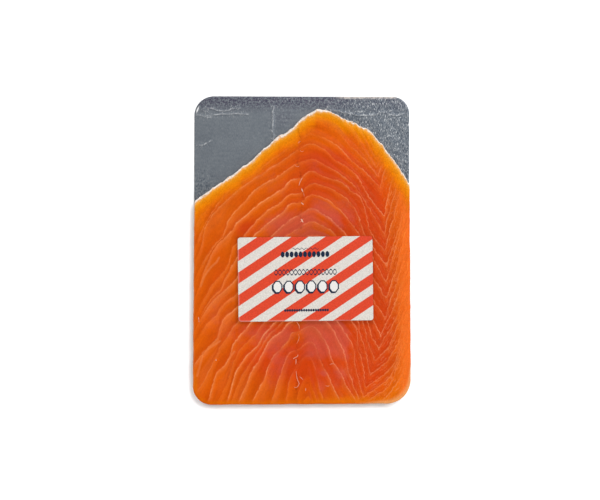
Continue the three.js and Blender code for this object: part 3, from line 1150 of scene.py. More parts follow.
    def _flesh(self, place: Signal, number: Signal) -> Signal:
        """Return the flesh colour between the lines.

        Args:
            place: The place, mm.
            number: Running number of the muscle line.

        Returns:
            The colour.
        """
        net = place.net
        mottle = net.noise(place, 11.0, 4.0, 0.6) - 0.5
        bold = net.stored("bold")
        past = number.fraction()
        # Each band is lighter just past its fat line and darker before the next: partly the flesh's own
        # tone, partly painted light and shade on the slopes of the flakes
        glow = (1 - past).rise(0.35, 1.0) - past.rise(0.45, 1.0) * 0.6
        glow = glow * (1 - net.stored("far").rise(26.0, 8.0) * 0.6)
        tone = glow * (0.12 + bold * 0.34) + 0.5 + mottle * 1.1
        color = net.mix(tone, self.deep, self.orange)
        red = (net.stored("red") + mottle * 0.6 - glow * 0.12).rise(0.05, 0.95)
        color = net.mix(red, color, self.red) * (1 + glow * 0.05)
        halo = (past + mottle * 0.3).rise(0.42, 0.0) * bold * (0.32 + net.stored("soft") * 0.4)
        color = net.mix((net.stored("pale") * 0.5).most(halo), color, self.pale_tint)
        patchy = net.noise(place, 6.0, 4.0, 0.6) - 0.5
        # Painted reflection of the clear film, as a milky pink cast
        haze = (net.stored("haze") + patchy * 1.1).rise(0.16, 0.95)
        color = net.mix(haze * 0.55, color, self.haze_tint)
        smoked = (net.stored("smoked") + mottle * 0.5).rise(0.0, 1.0)
        color = net.mix(smoked * 0.85, color, self.amber)
        # Painted shadow of the label, deepest along its left and near sides, with a wider faint one
        label_shadow_distance = net.stored("label")
        color = color * (1 + net.stored("lit") * 0.1)
        return color * (1 - label_shadow_distance.rise(1.9, 0.0) * 0.26 - label_shadow_distance.rise(6.0, 0.5) * 0.07)

    @staticmethod
    def _seam(place: Signal) -> Signal:
        """Return how much darker the flesh is along the seam down the middle.

        Args:
            place: The place, mm.

        Returns:
            The share by which it darkens the colour.
        """
        net = place.net
        wander = net.noise(place, 6.0, 4.0, 0.65) - 0.5
        apart = abs(net.stored("seam") + wander * 3.0)
        seam_breaks = net.noise(place * (1.0, 0.5, 1.0), 3.0, 3.0).rise(0.36, 0.6)
        ragged = net.noise(place, 1.6, 2.0, 0.7).rise(0.35, 0.65)
        return apart.rise(0.9, 0.1) * seam_breaks * ragged * 0.2 + apart.rise(2.4, 0.4) * seam_breaks * ragged * 0.12

    def _edges(self, place: Signal, color: Signal, streak: Signal) -> Signal:
        """Lay the smoked far edge, the light right side, the white tatters and the rim over a colour; the
        tatters and the rim are partly painted highlight.

        Args:
            place: The place, mm.
            color: The colour under them.
            streak: Streaks along the muscles, 0 to 1.

        Returns:
            The colour.
        """
        net = place.net
        upright = net.noise(place * (1.0, 0.22, 1.0), 1.3, 3.0, 0.65)
        side = net.stored("side")
        color = net.mix(side * (0.4 + upright * 0.9), color, self.side_tint)
        threads = upright.rise(0.5, 0.75).most(streak.rise(0.52, 0.75) * 0.7)
        color = net.mix(side.most(net.stored("fine") * 0.12) * threads * 0.55, color, self.side_streak)
        far = net.stored("far")
        tears = (net.noise(place, 1.1, 3.0, 0.75) - 0.5) * 3.4
        waves = (net.noise(place, 7.0, 3.0) - 0.5) * 7.0
        share = (far + tears * far.rise(8.0, 0.0) + (streak - 0.5) * 3.0) / self.edge_reach
        edge = net.node("ShaderNodeValToRGB", {"stops": self.edge}, {"Fac": share})
        color = net.mix((far + waves).rise(12.5, 5.0), color, edge)
        # White tatters along the far edge: pale membrane with a painted highlight
        tatters = net.noise(place, 1.2, 3.0, 0.7).rise(0.4, 0.52) * (far + tears * 0.3).rise(1.25, 0.5)
        color = net.mix(tatters, color, self.tatter_highlight_tint)
        return net.mix(net.stored("rim"), color, self.rim_highlight_tint)


@dataclass(frozen=True)
class FoilFinish:
    """Thin metal foil laminated to the board."""

    name: str = "foil"
    base: Rgb = rgb(134, 140, 145)
    shade: Rgb = rgb(66, 75, 88)  # In its fine dark ripples
    dusk: Rgb = rgb(72, 70, 88)  # Where it is darker, along its far edge and beside the salmon's peak
    painted_glint_tint: Rgb = rgb(206, 208, 210)  # Painted glints of its crinkles and painted highlights along its creases
    hem_tint: Rgb = rgb(206, 196, 188)  # Along part of its far edge, a thin lighter beige strip
    glint_tint: Rgb = rgb(255, 255, 255)  # The glint at its far left corner
    sheen: float = 0.42
    lift: float = 1.21  # How much lighter it is painted, because it mirrors the dim sky overhead

    def material(self) -> bpy.types.Material:
        """Make the material.

        Returns:
            The material.
        """
        net = Net.for_material(self.name)
        place = net.place()
        sparkle = net.stored("sparkle")
        rolled = net.noise(place * (1.0, 0.4, 1.0), 0.6, 2.0, 0.7)
        ripple = net.noise(place * (0.6, 1.0, 1.0), 1.5, 3.0, 0.65)
        cloud = net.noise(place, 16.0, 2.0)
        busy = 0.28 + sparkle * 0.62 + net.stored("rippled") * 0.9
        level = 0.64 - sparkle * 0.28 + (cloud - 0.5) * 0.4
        tone = level + (rolled - 0.5) * busy * 2.6 + (ripple - 0.5) * busy * 1.6
        color = net.mix(tone, self.shade, self.base)
        blots = net.noise(place * (0.7, 1.0, 1.0), 1.2, 3.0, 0.75).rise(0.4, 0.56)
        color = net.mix(net.stored("dusk") * blots, color, self.dusk)
        # Painted glints on the crinkled foil, most on the right, and painted highlights along the creases
        dashes = net.noise(place * (1.0, 0.35, 1.0), 0.55, 2.0, 0.8)
        near = net.stored("crease").rise(3.5, 0.3) * 0.35 + net.stored("dusk") * 0.3
        crinkle_glints = dashes.rise(0.54, 0.7) * (0.08 + (sparkle * 0.8).most(near))
        thread = net.noise(place, 1.6, 3.0, 0.75).rise(0.43, 0.61)
        fold = net.stored("crease").rise(0.45, 0.05) * (0.1 + thread * 0.85)
        color = net.mix(crinkle_glints.most(fold), color, self.painted_glint_tint)
        hem_breaks = net.noise(place * (0.5, 1.0, 1.0), 1.2, 3.0, 0.7).rise(0.36, 0.6)
        color = net.mix(net.stored("hem") * (0.25 + hem_breaks * 0.6), color, self.hem_tint)
        color = net.mix(net.stored("glint"), color, self.glint_tint)
        grain = net.noise(place, 0.5, 2.0, 0.6)
        return net.surface({
            "Base Color": color * self.lift,
            "Metallic": 0.8,
            "Roughness": self.sheen + (grain - 0.5) * 0.16,
            "Normal": net.bump(rolled * 0.5 + grain * 0.5, 0.3, 0.06),
        })


@dataclass(frozen=True)
class CardFinish:
    """The grey-white card between the two foils."""

    name: str = "board_card"
    pulp: Rgb = rgb(222, 219, 212)
    fleck: Rgb = rgb(176, 170, 160)  # Its darker fibres

    def material(self) -> bpy.types.Material:
        """Make the material.

        Returns:
            The material.
        """
        net = Net.for_material(self.name)
        place = net.place()
        layers = net.noise(place * (0.4, 0.4, 6.0), 1.2, 3.0, 0.6)
        color = net.mix(layers.rise(0.35, 0.75) * 0.6, self.pulp, self.fleck)
        return net.surface({
            "Base Color": color,
            "Roughness": 0.75 + layers * 0.2,
            "Normal": net.bump(layers, 0.4, 0.06),
        })


@dataclass(frozen=True)
class LabelFinish:
    """Coated paper, printed with slanting stripes and plain ornaments."""

    name: str = "label_paper"
    paper: Rgb = rgb(226, 219, 210)  # The unprinted colour
    stripe: Rgb = rgb(228, 73, 44)
    ink: Rgb = rgb(22, 40, 66)  # The ornaments
    white: Rgb = rgb(242, 240, 236)  # The light fill of the ornaments
    edge_highlight_tint: Rgb = rgb(250, 246, 240)  # A painted highlight along its left and near cut edges
    slant: float = 33.2  # The stripes' angle from +X, degrees
    period: float = 20.39  # From one stripe to the next along the label's width
    inked: float = 0.506  # The share of a period that is printed
    start: float = -5.59  # Where a stripe starts on the label's middle line, mm from its middle
    slip: float = 1.4  # How far the last stripes are set back
    middle: Pair = LABEL_MIDDLE  # The label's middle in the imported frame
    turn: float = LABEL_TURN  # How far the label is turned counter-clockwise, degrees

    def material(self) -> bpy.types.Material:
        """Make the material.

        Returns:
            The material.
        """
        net = Net.for_material(self.name)
        place = net.place()
        across, along = self._print_place(place)
        tooth = net.noise(place, 0.45, 3.0, 0.7)
        paper = net.mix(tooth * 0.35, self.paper, self.white)
        fibre = (net.noise(place, 0.7, 2.0, 0.8) - 0.5) * 0.9 + 1.0
        color = net.mix(self._stripes(across, along), paper, self.stripe) * fibre
        color = self._ornaments(across, along, color)
        # Painted highlight along the left and near edges
        color = net.mix(net.stored("cut") * 0.24, color, self.edge_highlight_tint)
        return net.surface({
            "Base Color": color,
            "Roughness": 0.5 + tooth * 0.14,
            "Specular IOR Level": 0.08,
            "Normal": net.bump(tooth, 0.3, 0.04),
        })

    def _print_place(self, place: Signal) -> tuple[Signal, Signal]:
        """Find the place on the print.

        Args:
            place: The place, mm.

        Returns:
            The place across and along it, mm from its middle.
        """
        x, y, _ = (place - (*self.middle, 0.0)).parts()
        cos, sin = math.cos(math.radians(self.turn)), math.sin(math.radians(self.turn))
        return x * cos + y * sin, y * cos - x * sin

    def _stripes(self, across: Signal, along: Signal) -> Signal:
        """Return where the printed stripes are.

        Args:
            across, along: The place on the label, mm.

        Returns:
            1 on them, 0 beside them.
        """
        slope = math.tan(math.radians(self.slant))
        turn = (across - along / slope - self.start) / self.period
        turn = turn + turn.rise(2.8, 2.81) * (self.slip / self.period)
        half = self.inked / 2
        apart = abs(turn.fraction() - half)
        wrapped = apart.least(1 - apart)
        return (1 - wrapped.rise(half - 0.006, half + 0.006)) * turn.rise(3.9, 3.85)

    def _ornaments(self, across: Signal, along: Signal, color: Signal) -> Signal:
        """Print rows of beads and plain rules over a colour.

        Args:
            across, along: The place on the label, mm.
            color: The colour under them.

        Returns:
            The colour.
        """
        for rule in RULES:
            color = color.net.mix(rule.mask(across, along), color, self.ink)
        for row in BEAD_ROWS:
            color = row.printed(across, along, color, self.ink, self.white)
        return color


@dataclass(frozen=True)
class BeadRow:
    """A printed row of cut beads."""

    x: float  # The row's middle, from the label's middle
    y: float
    count: int
    step: float  # From one to the next
    half_width: float
    half_height: float
    outline: float = 0.0  # Width of its outline; 0 for a bead of solid ink
    shadow: float = 0.0  # How far its printed shadow is moved left and down

    def beads(self, across: Signal, along: Signal, inset: float = 0.0) -> Signal:
        """Return where the beads are.

        Args:
            across, along: The place on the label, mm.
            inset: How far their outline is moved in, mm.

        Returns:
            1 on them, 0 beside them.
        """
        reach = self.count * self.step / 2
        within = abs(across - self.x).rise(reach, reach - 0.05)
        place = (across - (self.x - reach)) / self.step
        aside = abs(place.fraction() - 0.5) * (self.step / (self.half_width - inset))
        above = abs(along - self.y) / (self.half_height - inset)
        outside = (aside + above) * 0.72
        soft = 0.12 / (self.half_height - inset)
        return outside.most(aside).most(above).rise(1 + soft, 1 - soft) * within

    def printed(self, across: Signal, along: Signal, color: Signal, ink: Rgb, white: Rgb) -> Signal:
        """Return a colour with the row printed over it.

        Args:
            across, along: The place on the label, mm.
            color: The colour under the print.
            ink: The ink's colour.
            white: The colour inside the outlines.

        Returns:
            The colour.
        """
        net = color.net
        if self.shadow:
            moved = self.beads(across + self.shadow, along + self.shadow)
            color = net.mix(moved, color, ink)
        color = net.mix(self.beads(across, along), color, ink)
        if self.outline:
            color = net.mix(self.beads(across, along, self.outline), color, white)
        return color


@dataclass(frozen=True)
class Rule:
    """A printed line, straight or waved."""

    x: float  # Its middle, from the label's middle
    y: float
    half_length: float
    half_width: float
    wave: float = 0.0  # Height of its waves; below 0 they start downwards
    wave_length: float = 4.0  # Their length

    def mask(self, across: Signal, along: Signal) -> Signal:
        """Return where the line is.

        Args:
            across, along: The place on the label, mm.

        Returns:
            1 on it, 0 beside it.
        """
        swing = (across * (2 * math.pi / self.wave_length)).sine() * self.wave
        apart = abs(along - self.y - swing)
        within = abs(across - self.x).rise(self.half_length, self.half_length - 0.1)
        return apart.rise(self.half_width + 0.1, self.half_width - 0.1) * within


BEAD_ROWS: tuple[BeadRow, ...] = many(
    BeadRow,
    (0.1, -4.6, 6, 6.7, 2.95, 3.7, 0.7, 0.45),
    (-0.1, 14.6, 11, 2.65, 1.15, 1.75),
    (0.4, -18.6, 19, 1.4, 0.66, 0.78),
)
RULES: tuple[Rule, ...] = many(
    Rule,
    (0.0, 4.0, 18.6, 0.38, 1.5, 4.65),
    (0.0, 4.0, 18.6, 0.38, -1.5, 4.65),
    (0.2, 17.9, 7.8, 0.2, 0.45, 2.6),
)


@dataclass(frozen=True)
class WispFinish:
    """Threads of white fat and curled membrane on the face of the salmon, which also stand in for painted
    highlights on wrinkles of the clear film.
    """

    name: str = "fat_and_glint_thread"
    fat: Rgb = rgb(252, 214, 190)  # Where thick
    blush: Rgb = rgb(234, 142, 108)  # Where the flesh shows through

    def material(self) -> bpy.types.Material:
        """Make the material.

        Returns:
            The material.
        """
        net = Net.for_material(self.name)
        cloud = net.noise(net.place(), 1.2, 2.0)
        white = net.stored("white") + (cloud - 0.5) * 0.6
        return net.surface({
            "Base Color": net.mix(white, self.blush, self.fat),
            "Roughness": 0.3 + cloud * 0.2,
            "Specular IOR Level": 0.15,
            "Normal": net.bump(cloud, 0.3, 0.05),
        })


@dataclass(frozen=True)
class FloorFinish:
    """The plain pale table."""

    name: str = "pale_table"
    pale: Rgb = (0.87, 0.875, 0.88)
    cloud: Rgb = (0.86, 0.867, 0.873)  # Where it is a little duller

    def material(self) -> bpy.types.Material:
        """Make the material.

        Returns:
            The material.
        """
        net = Net.for_material(self.name)
        cloud = net.noise(net.place(), 60.0, 2.0)
        return net.surface({
            "Base Color": net.mix(cloud, self.pale, self.cloud),
            "Roughness": 0.7 + cloud * 0.1,
        })


# The salmon
# ----------


@dataclass(frozen=True)
class Rim:
    """The rounded edge of a slice, in section."""

    # How far in from the edge the rows of points lie
    insets: tuple[float, ...] = (0.0, 0.12, 0.28, 0.5, 0.8, 1.2, 1.7)
    # Distances in from the edge, and how much lower the face is there
    profile: tuple[Pair, ...] = ((0.0, 0.6), (0.5, 0.16), (1.7, 0.0))
    # How far in, and how far below the face, the rings of its wall lie
    under: tuple[Pair, ...] = ((0.04, 0.78), (0.14, 1.0), (0.28, 1.2), (0.4, SLICE_THICKNESS))

    @property
    def width(self) -> float:
        """How far in the rounding goes, mm."""
        return self.insets[-1]

    def drop(self, distance: Array) -> Array:
        """Return how much lower the face lies near the edge, mm."""
        drop = curve_through(self.profile)(np.minimum(distance, self.width))
        return np.where(distance >= self.width, 0.0, drop)


@dataclass(frozen=True)
class SlicePlan:
    """The outline of a slice."""

    reach: float = 0.0  # How far its far edge is moved out
    spread: float = 0.0  # How far its other edges are moved out
    phase: float = 5.1  # Where its uneven edge starts
    fray: Pair = (0.6, 0.85)  # Height of the fine tears of the far edge, left and right of the peak
    seed: int = 11  # Seed of those tears
    tear_size: float = 3.2  # Their length
    near_y: Pair = (-91.8, -91.0)  # The near edge at its left and right end
    left: Pair = (-63.9, -64.6)  # The left edge at its far and near end
    right: Pair = (64.3, 64.9)  # The right edge at its far and near end
    span: Pair = (30.0, -65.0)  # Where the sides lean from and to
    far_left_radius: float = 1.6
    near_left_radius: float = 11.0
    near_right_radius: float = 14.5
    # Frequency and share of the waves of the uneven edge
    waves: tuple[Pair, ...] = ((0.11, 1.0), (0.27, 0.6), (0.61, 0.3))
    amplitude: float = 0.3  # Height of those waves
    # Points of the far edge, left to right
    far_edge: tuple[Pair, ...] = (
        (-64, 29.2), (-59.5, 32.6), (-50.5, 38.3), (-41.5, 44.5), (-36.5, 48.6), (-32.5, 51.2),
        (-25.5, 57.2), (-16.5, 65.4), (-13, 67.8), (-6, 72.4), (-0.7, 77.8), (3, 80.2),
        (10, 83.6), (13.5, 83.3), (20.5, 80), (26, 77.5), (31.5, 75.6), (38.5, 72),
        (42, 69.8), (45.7, 65.3), (53, 56.2), (60, 46.4), (64.3, 39.4),
    )

    @property
    def width(self) -> float:
        """Its width at the far end, mm."""
        return self.right[0] - self.left[0]

    def uneven(self, along: Array, turn: float = 0.0) -> Array:
        """Return the waves of an edge.

        Args:
            along: The place along the edge, mm.
            turn: How far they are shifted.

        Returns:
            The waves, mm.
        """
        start = self.phase + turn
        return self.amplitude * sum(
            share * np.sin(frequency * along + start / share) for frequency, share in self.waves
        )

    def side(self, ends: Pair, sign: int, turn: float, y: Array) -> Array:
        """Return where a side lies.

        Args:
            ends: Its far and near end, mm.
            sign: -1 for the left side, 1 for the right one.
            turn: How far its waves are shifted.
            y: Ordinates, mm.

        Returns:
            Its abscissas, mm.
        """
        share = np.clip((self.span[0] - y) / (self.span[0] - self.span[1]), 0, 1)
        inset = np.abs(self.uneven(y, turn)) * 0.5
        return ends[0] + (ends[1] - ends[0]) * share + sign * (self.spread - inset)

    def left_at(self, y: Array) -> Array:
        """Return the left edge, mm."""
        return self.side(self.left, -1, 0.0, y)

    def right_at(self, y: Array) -> Array:
        """Return the right edge, mm."""
        return self.side(self.right, 1, 2.0, y)

    def far_at(self, x: Array) -> Array:
        """Return the far edge with its fine tears.

        Args:
            x: Abscissas, mm.

        Returns:
            Its ordinates, mm.
        """
        height = self.fray[0] + (self.fray[1] - self.fray[0]) * rise(8.0, 20.0, x)
        knobs = np.abs(SmoothNoise(self.seed, self.tear_size)(x, np.zeros_like(x))) - 0.3
        tears = 2 * height * knobs
        cut = corner_cut(x - self.left[0], self.far_left_radius)
        return curve_through(self.far_edge)(x) + self.reach + self.uneven(x) + tears - cut

    def near_at(self, x: Array) -> Array:
        """Return the near edge.

        Args:
            x: Abscissas, mm.

        Returns:
            Its ordinates, mm.
        """
        share = (x - self.left[0]) / self.width
        level = self.near_y[0] + (self.near_y[1] - self.near_y[0]) * share
        cuts = corner_cut(x - self.left[0], self.near_left_radius)
        cuts = cuts + corner_cut(self.right[0] - x, self.near_right_radius)
        return level - self.spread + np.abs(self.uneven(x, 4.0)) * 0.4 + cuts


@dataclass(frozen=True)
class Relief:
    """The low relief of the top slice."""

    ridge: float = 0.17  # Height of the flakes
    fine: float = 0.3  # Share of that past the crest, where the flakes are narrow
    groove: float = 0.02  # Depth of the fine grooves beside the lines
    swell: float = 0.12  # Height of the broad waves
    swell_length: Pair = (47.0, 61.0)  # Their lengths along X and Y
    flat: Pair = (3.2, 6.5)  # How far from the label the face is level, and where it is free

    def height(self, x: Array, y: Array, number: Array, across: Array, away: Array) -> Array:
        """Return the height over the level face.

        Args:
            x, y: The points, mm.
            number: Running number of the muscle line.
            across: Position across the slice.
            away: Distance from the label, mm.

        Returns:
            The heights, mm.
        """
        narrow = rise(1.3, 2.2, across)
        ridge = self.ridge * (1 - narrow * (1 - self.fine))
        wave_x, wave_y = self.swell_length
        swell = np.sin(x / wave_x * math.pi + 1) * np.cos(y / wave_y * math.pi)
        lines = np.cos(2 * math.pi * number)
        groove = self.groove * np.cos(6 * math.pi * number) * narrow
        free = rise(*self.flat, away)
        return free * (ridge * lines + groove + self.swell * swell)


@dataclass
class Slice:
    """One slice of smoked salmon."""

    node: Node  # The solid that it stands for
    plan: SlicePlan
    base: float  # Height of its underside
    step: float = 1.2
    rows: int | None = 8  # Rows between its rims, or none for rows as wide as a cell
    relief: Relief | None = None
    rim: Rim = Rim()
    pattern: MusclePattern = field(default_factory=MusclePattern)
    tones: FleshTones = FleshTones()
    thickness: float = SLICE_THICKNESS
    skin: float = 2.8  # How much further in than its far edge the finish takes its walls to be

    def surface(self) -> Surface:
        """Make its closed surface.

        Returns:
            The surface.
        """
        x, y, (to_edge, *distance), shape = self._grid()
        across = self.pattern.position(x, y)
        number = self.pattern.number(x, y)
        z = self.base + self.thickness - self.rim.drop(to_edge)
        if self.relief:
            away = self.tones.away_from_label(x, y)
            raised = self.relief.height(x, y, number, across, away)
            z = z + rise(0, self.rim.width, to_edge) * raised
        stored = self._stored(x, y, across, number, distance)
        sheet = Sheet(np.stack([x, y, z], 1), shape, stored)
        surface = sheet.closed(self._rings(sheet.border))
        surface.stored["far"][len(x):] += self.skin
        return surface

    def level(self, x: Array, y: Array) -> Array:
        """Return the height of its face well inside its rim.

        Args:
            x, y: The points, mm.

        Returns:
            The heights, mm.
        """
        across, number = self.pattern.position(x, y), self.pattern.number(x, y)
        away = self.tones.away_from_label(x, y)
        return self.base + self.thickness + self.relief.height(x, y, number, across, away)

    def _grid(self) -> tuple[Array, Array, tuple[Array, Array, Array], tuple[int, int]]:
        """Lay a grid over its upper face.

        Returns:
            Abscissas, ordinates, distances to the edge, the far edge and the near edge, all in
            mm, and the numbers of columns and rows.
        """
        plan, width = self.plan, self.plan.width
        share = shares_round_corners(width, plan.near_left_radius, plan.near_right_radius, self.step)
        x0 = plan.left[0] + share * width
        near, far = plan.near_at(x0), plan.far_at(x0)
        insets = np.asarray(self.rim.insets)
        count = self.rows or round((far - near).max() / self.step)
        even = np.linspace(0, 1, count + 1)[1:-1]
        lows = near[:, None] + insets
        highs = far[:, None] - insets[::-1]
        start, end = lows[:, -1:], highs[:, :1]
        y = np.concatenate([lows, start + (end - start) * even, highs], 1)
        left, right = plan.left_at(y), plan.right_at(y)
        x = left + share[:, None] * (right - left)
        slope_near = np.hypot(1, plan.near_at(x0 + 0.5) - plan.near_at(x0 - 0.5))
        slope_far = np.hypot(1, plan.far_at(x0 + 2.0) / 4 - plan.far_at(x0 - 2.0) / 4)
        to_near = (y - near[:, None]) / slope_near[:, None]
        to_far = (far[:, None] - y) / slope_far[:, None]
        to_side = (np.minimum(share, 1 - share) * width)[:, None] + np.zeros_like(y)
        to_edge = np.minimum(np.minimum(to_near, to_far), to_side)
        shape = (len(share), y.shape[1])
        distances = (to_edge.ravel(), to_far.ravel(), to_near.ravel())
        return x.ravel(), y.ravel(), distances, shape

    def _rings(self, border: Array) -> list[Array]:
        """Return the rings under its border, mm."""
        top = self.base + self.thickness
        return [at_level(inset_loop(border, inset), top - drop) for inset, drop in self.rim.under]

    def _stored(
        self,
        x: Array,
        y: Array,
        across: Array,
        number: Array,
        distance: Sequence[Array],
    ) -> dict[str, Array]:
        """Return the numbers that the finish reads.

        Args:
            x, y: The points, mm.
            across: Position across the slice.
            number: Running number of the muscle line.
            distance: Distances to the far and near edge, mm.

        Returns:
            The numbers, by name.
        """
        to_far, to_near = distance
        from_left, from_right = x - self.plan.left_at(y), self.plan.right_at(y) - x
        inner = rise(1.0, 5.0, to_near) * rise(*self._margin(y), from_left)
        soft = rise(-38.0, -48.0, x) * rise(16.0, 4.0, y)
        right = rise(-10.0, 40.0, x)
        near_band = rise(4.4 + right * 3.0, 0.6, to_near) * (0.6 + 0.4 * right)
        corner = rise(34.0, 4.0, from_right + to_near) * 0.95
        far_left = rise(12.0, 2.0, from_left) * rise(0.0, 26.0, y)
        ends = np.maximum(rise(2.0, 24.0, y), rise(-68.0, -80.0, y))
        left_band = rise(5.0, 0.5, from_left) * (0.15 + 0.55 * ends)
        # A thin light border on the left side and the near right corner: pale flesh with a painted
        # highlight of the rounded edge
        left_rim = rise(0.9, 0.2, from_left) * 0.35
        wide = rise(38.0, 58.0, x)
        peach = rise(1.6 + 2.6 * wide, 0.3, to_near) * rise(28.0, 50.0, x)
        return {
            **self.tones.fields(x, y, number),
            "muscle": number,
            "pitch": self._pitch(x, y, number),
            "bold": self.pattern.boldness_at(number, across) * inner,
            "fine": rise(1.2, 1.75, across),
            "flank": rise(2.0, 2.3, across),
            "strand": np.minimum(distance_to_paths(STRANDS, x, y), 9.0),
            "soft": soft * rise(-72.0, -60.0, y),
            "far": np.clip(to_far, 0.0, 30.0) + 0.4 * rise(9.0, 20.0, x),
            "side": rise(10.0, 3.0, from_right),
            "smoked": np.max([near_band, corner, far_left, left_band], axis=0),
            "rim": np.maximum(left_rim, peach * 0.75),
        }

    @staticmethod
    def _margin(y: Array) -> tuple[Array, Array]:
        """Return where the lines start and are full, mm from the left edge, at ordinates, mm."""
        wide = rise(-62.0, -50.0, y) * rise(14.0, -4.0, y)
        return 0.3 + wide * 2.5, 1.5 + wide * 6.5

    def _pitch(self, x: Array, y: Array, number: Array) -> Array:
        """Return the distance from one muscle line to the next.

        Args:
            x, y: The points, mm.
            number: Running number of the muscle line.

        Returns:
            The distances, mm.
        """
        gap = 0.3
        aside = (self.pattern.number(x + gap, y) - number) / gap
        along = (self.pattern.number(x, y + gap) - number) / gap
        return np.clip(1 / np.maximum(np.hypot(aside, along), 1e-3), 1.5, 40.0)


@dataclass(frozen=True)
class Wisp:
    """A thread of fat or membrane that lies on a slice, partly a painted highlight of a film wrinkle."""

    path: tuple[Pair, ...]
    half_width: float = 0.28  # Half of its width at its widest
    white: float = 0.3  # 0 where the flesh shows through, 1 where it is white
    sides: int = 8  # How many points go round it
    height: float = 0.07  # How far it stands up
    step: float = 0.25  # Length of its pieces

    def add_to(self, surface: Surface, level: Callable[[Array, Array], Array]) -> None:
        """Add it to a surface as a closed, tapered thread.

        Args:
            surface: The surface to add to.
            level: The height of the face at points, mm.
        """
        x_at, y_at = np.asarray(self.path, float).T
        run = np.concatenate([[0], np.cumsum(np.hypot(np.diff(x_at), np.diff(y_at)))])
        count = max(6, round(run[-1] / self.step))
        at = np.linspace(0, run[-1], count + 1)
        x, y = smooth_through(run, x_at)(at), smooth_through(run, y_at)(at)
        along = np.stack([np.gradient(x), np.gradient(y)], 1)
        along /= np.linalg.norm(along, axis=1, keepdims=True)
        taper = np.sqrt(np.clip(np.sin(np.pi * (0.03 + 0.94 * at / run[-1])), 0, 1))
        turns = np.linspace(0, 2 * math.pi, self.sides, endpoint=False)
        aside = self.half_width * taper[:, None] * np.cos(turns)
        up = self.height * taper[:, None] * np.sin(turns)
        label_shadow_distance = x[:, None] + along[:, 1:] * aside, y[:, None] - along[:, :1] * aside
        points = np.stack([*label_shadow_distance, level(x, y)[:, None] + up], 2).reshape(-1, 3)
        start = len(surface.points)
        for i in range(count):
            for j in range(self.sides):
                a, b = start + i * self.sides + j, start + i * self.sides + (j + 1) % self.sides
                surface.faces.append((a, a + self.sides, b + self.sides, b))
        first = range(start, start + self.sides)
        surface.faces.append(first)
        surface.faces.append([i + count * self.sides for i in first[::-1]])
        surface.points = np.concatenate([surface.points, points])
        white = np.full(len(points), self.white)
        surface.stored["white"] = np.concatenate([surface.stored["white"], white])


WISPS: tuple[Wisp, ...] = many(
    Wisp,
    (((-2.1, 63.4), (-1.5, 64.3), (-0.7, 64.9)), 0.16, 0.1),
    (((-0.8, 59.5), (-0.2, 58.7), (0.6, 58.6), (1.1, 59.3)), 0.15, 0.0),
    (((-4.1, 50.9), (-3.3, 50.0), (-2.2, 49.7), (-1.2, 50.3)), 0.13, 0.0),
    (((0.6, 43.2), (-0.4, 41.7), (-1.1, 40.2), (-1.6, 38.4)), 0.28, 0.15),
    (((0.0, 36.8), (0.3, 35.8), (0.8, 34.8)), 0.34, 0.5),
    (((0.9, 34.6), (1.4, 33.2), (1.6, 31.9)), 0.12, 0.0),
    (((-0.3, 28.3), (0.5, 27.8), (1.1, 27.0)), 0.34, 0.3),
    (((-0.4, 18.7), (0.3, 17.6), (0.9, 16.6)), 0.34, 0.7),
    (((-0.9, 16.8), (0.2, 17.5), (1.0, 18.9)), 0.18, 0.2),
    (((-3.1, -42.2), (-2.1, -43.7), (-1.4, -45.2), (-1.4, -46.9)), 0.17, 0.1),
    (((-1.7, -49.6), (-1.5, -51.7), (-2.1, -53.8), (-3.0, -55.3)), 0.15, 0.0),
    (((-5.1, -64.5), (-3.9, -63.6), (-2.7, -63.1), (-2.0, -61.8)), 0.22, 0.3),
    (((-3.3, -64.2), (-3.3, -65.9), (-3.5, -67.7)), 0.2, 0.3),
    (((-3.3, -71.6), (-3.0, -74.0), (-2.6, -76.3), (-2.0, -77.8), (-1.5, -79.0), (-1.9, -80.2),
      (-2.8, -81.2), (-3.9, -81.4), (-4.7, -80.9)), 0.2, 0.2),
    (((-1.2, -74.8), (-0.1, -75.8), (0.9, -76.9)), 0.15, 0.1),
    (((16.6, -67.9), (18.0, -67.3), (19.3, -67.2)), 0.16, 0.1),
    (((14.1, -80.2), (15.4, -80.6), (16.6, -80.3)), 0.16, 0.1),
    (((2.5, -81.7), (2.4, -83.4)), 0.18, 0.2),
    (((-61.2, -39.5), (-60.9, -42.5)), 0.26, 0.3),
    (((-50.8, -64.6), (-50.8, -65.6)), 0.3, 0.4),
)


@dataclass
class SalmonStack:
    """The four slices on the board."""

    board_top: float = BOARD_THICKNESS  # Height of the board's face
    thickness: float = SLICE_THICKNESS

    @property
    def slices(self) -> tuple[Slice, ...]:
        """The slices.

        Returns:
            The slices, from the bottom up.
        """
        plans = {
            Node.SLICE_BOTTOM: SlicePlan(0.1, -0.3, 0.4, seed=21),
            Node.SLICE_LOWER: SlicePlan(-0.7, 0.0, 1.9, seed=31),
            Node.SLICE_UPPER: SlicePlan(-0.1, -0.5, 3.3, seed=41),
        }
        lower = [
            Slice(node, plan, self.board_top + i * self.thickness)
            for i, (node, plan) in enumerate(plans.items())
        ]
        base = self.board_top + len(lower) * self.thickness
        top = Slice(Node.SLICE_TOP, SlicePlan(), base, step=0.62, rows=None, relief=Relief())
        return (*lower, top)

    def build(self, frame: Frame) -> None:
        """Make the slices and the threads of fat and painted highlight on them, and hang them.

        Args:
            frame: The frame.
        """
        inner = SalmonFinish(name="salmon_inside").material()
        upper = SalmonFinish().material()
        for part in self.slices:
            is_top = part.node is Node.SLICE_TOP
            finish = upper if is_top else inner
            frame.hang(part.surface(), f"{part.node.value}_flesh", finish, part.node)
        threads = Surface(np.zeros((0, 3)), [], {"white": np.zeros(0)})
        for wisp in WISPS:
            wisp.add_to(threads, self.slices[-1].level)
        finish = WispFinish().material()
        frame.hang(threads, "fat_and_glint_threads", finish, Node.SLICE_TOP)


# The board and the label
# -----------------------


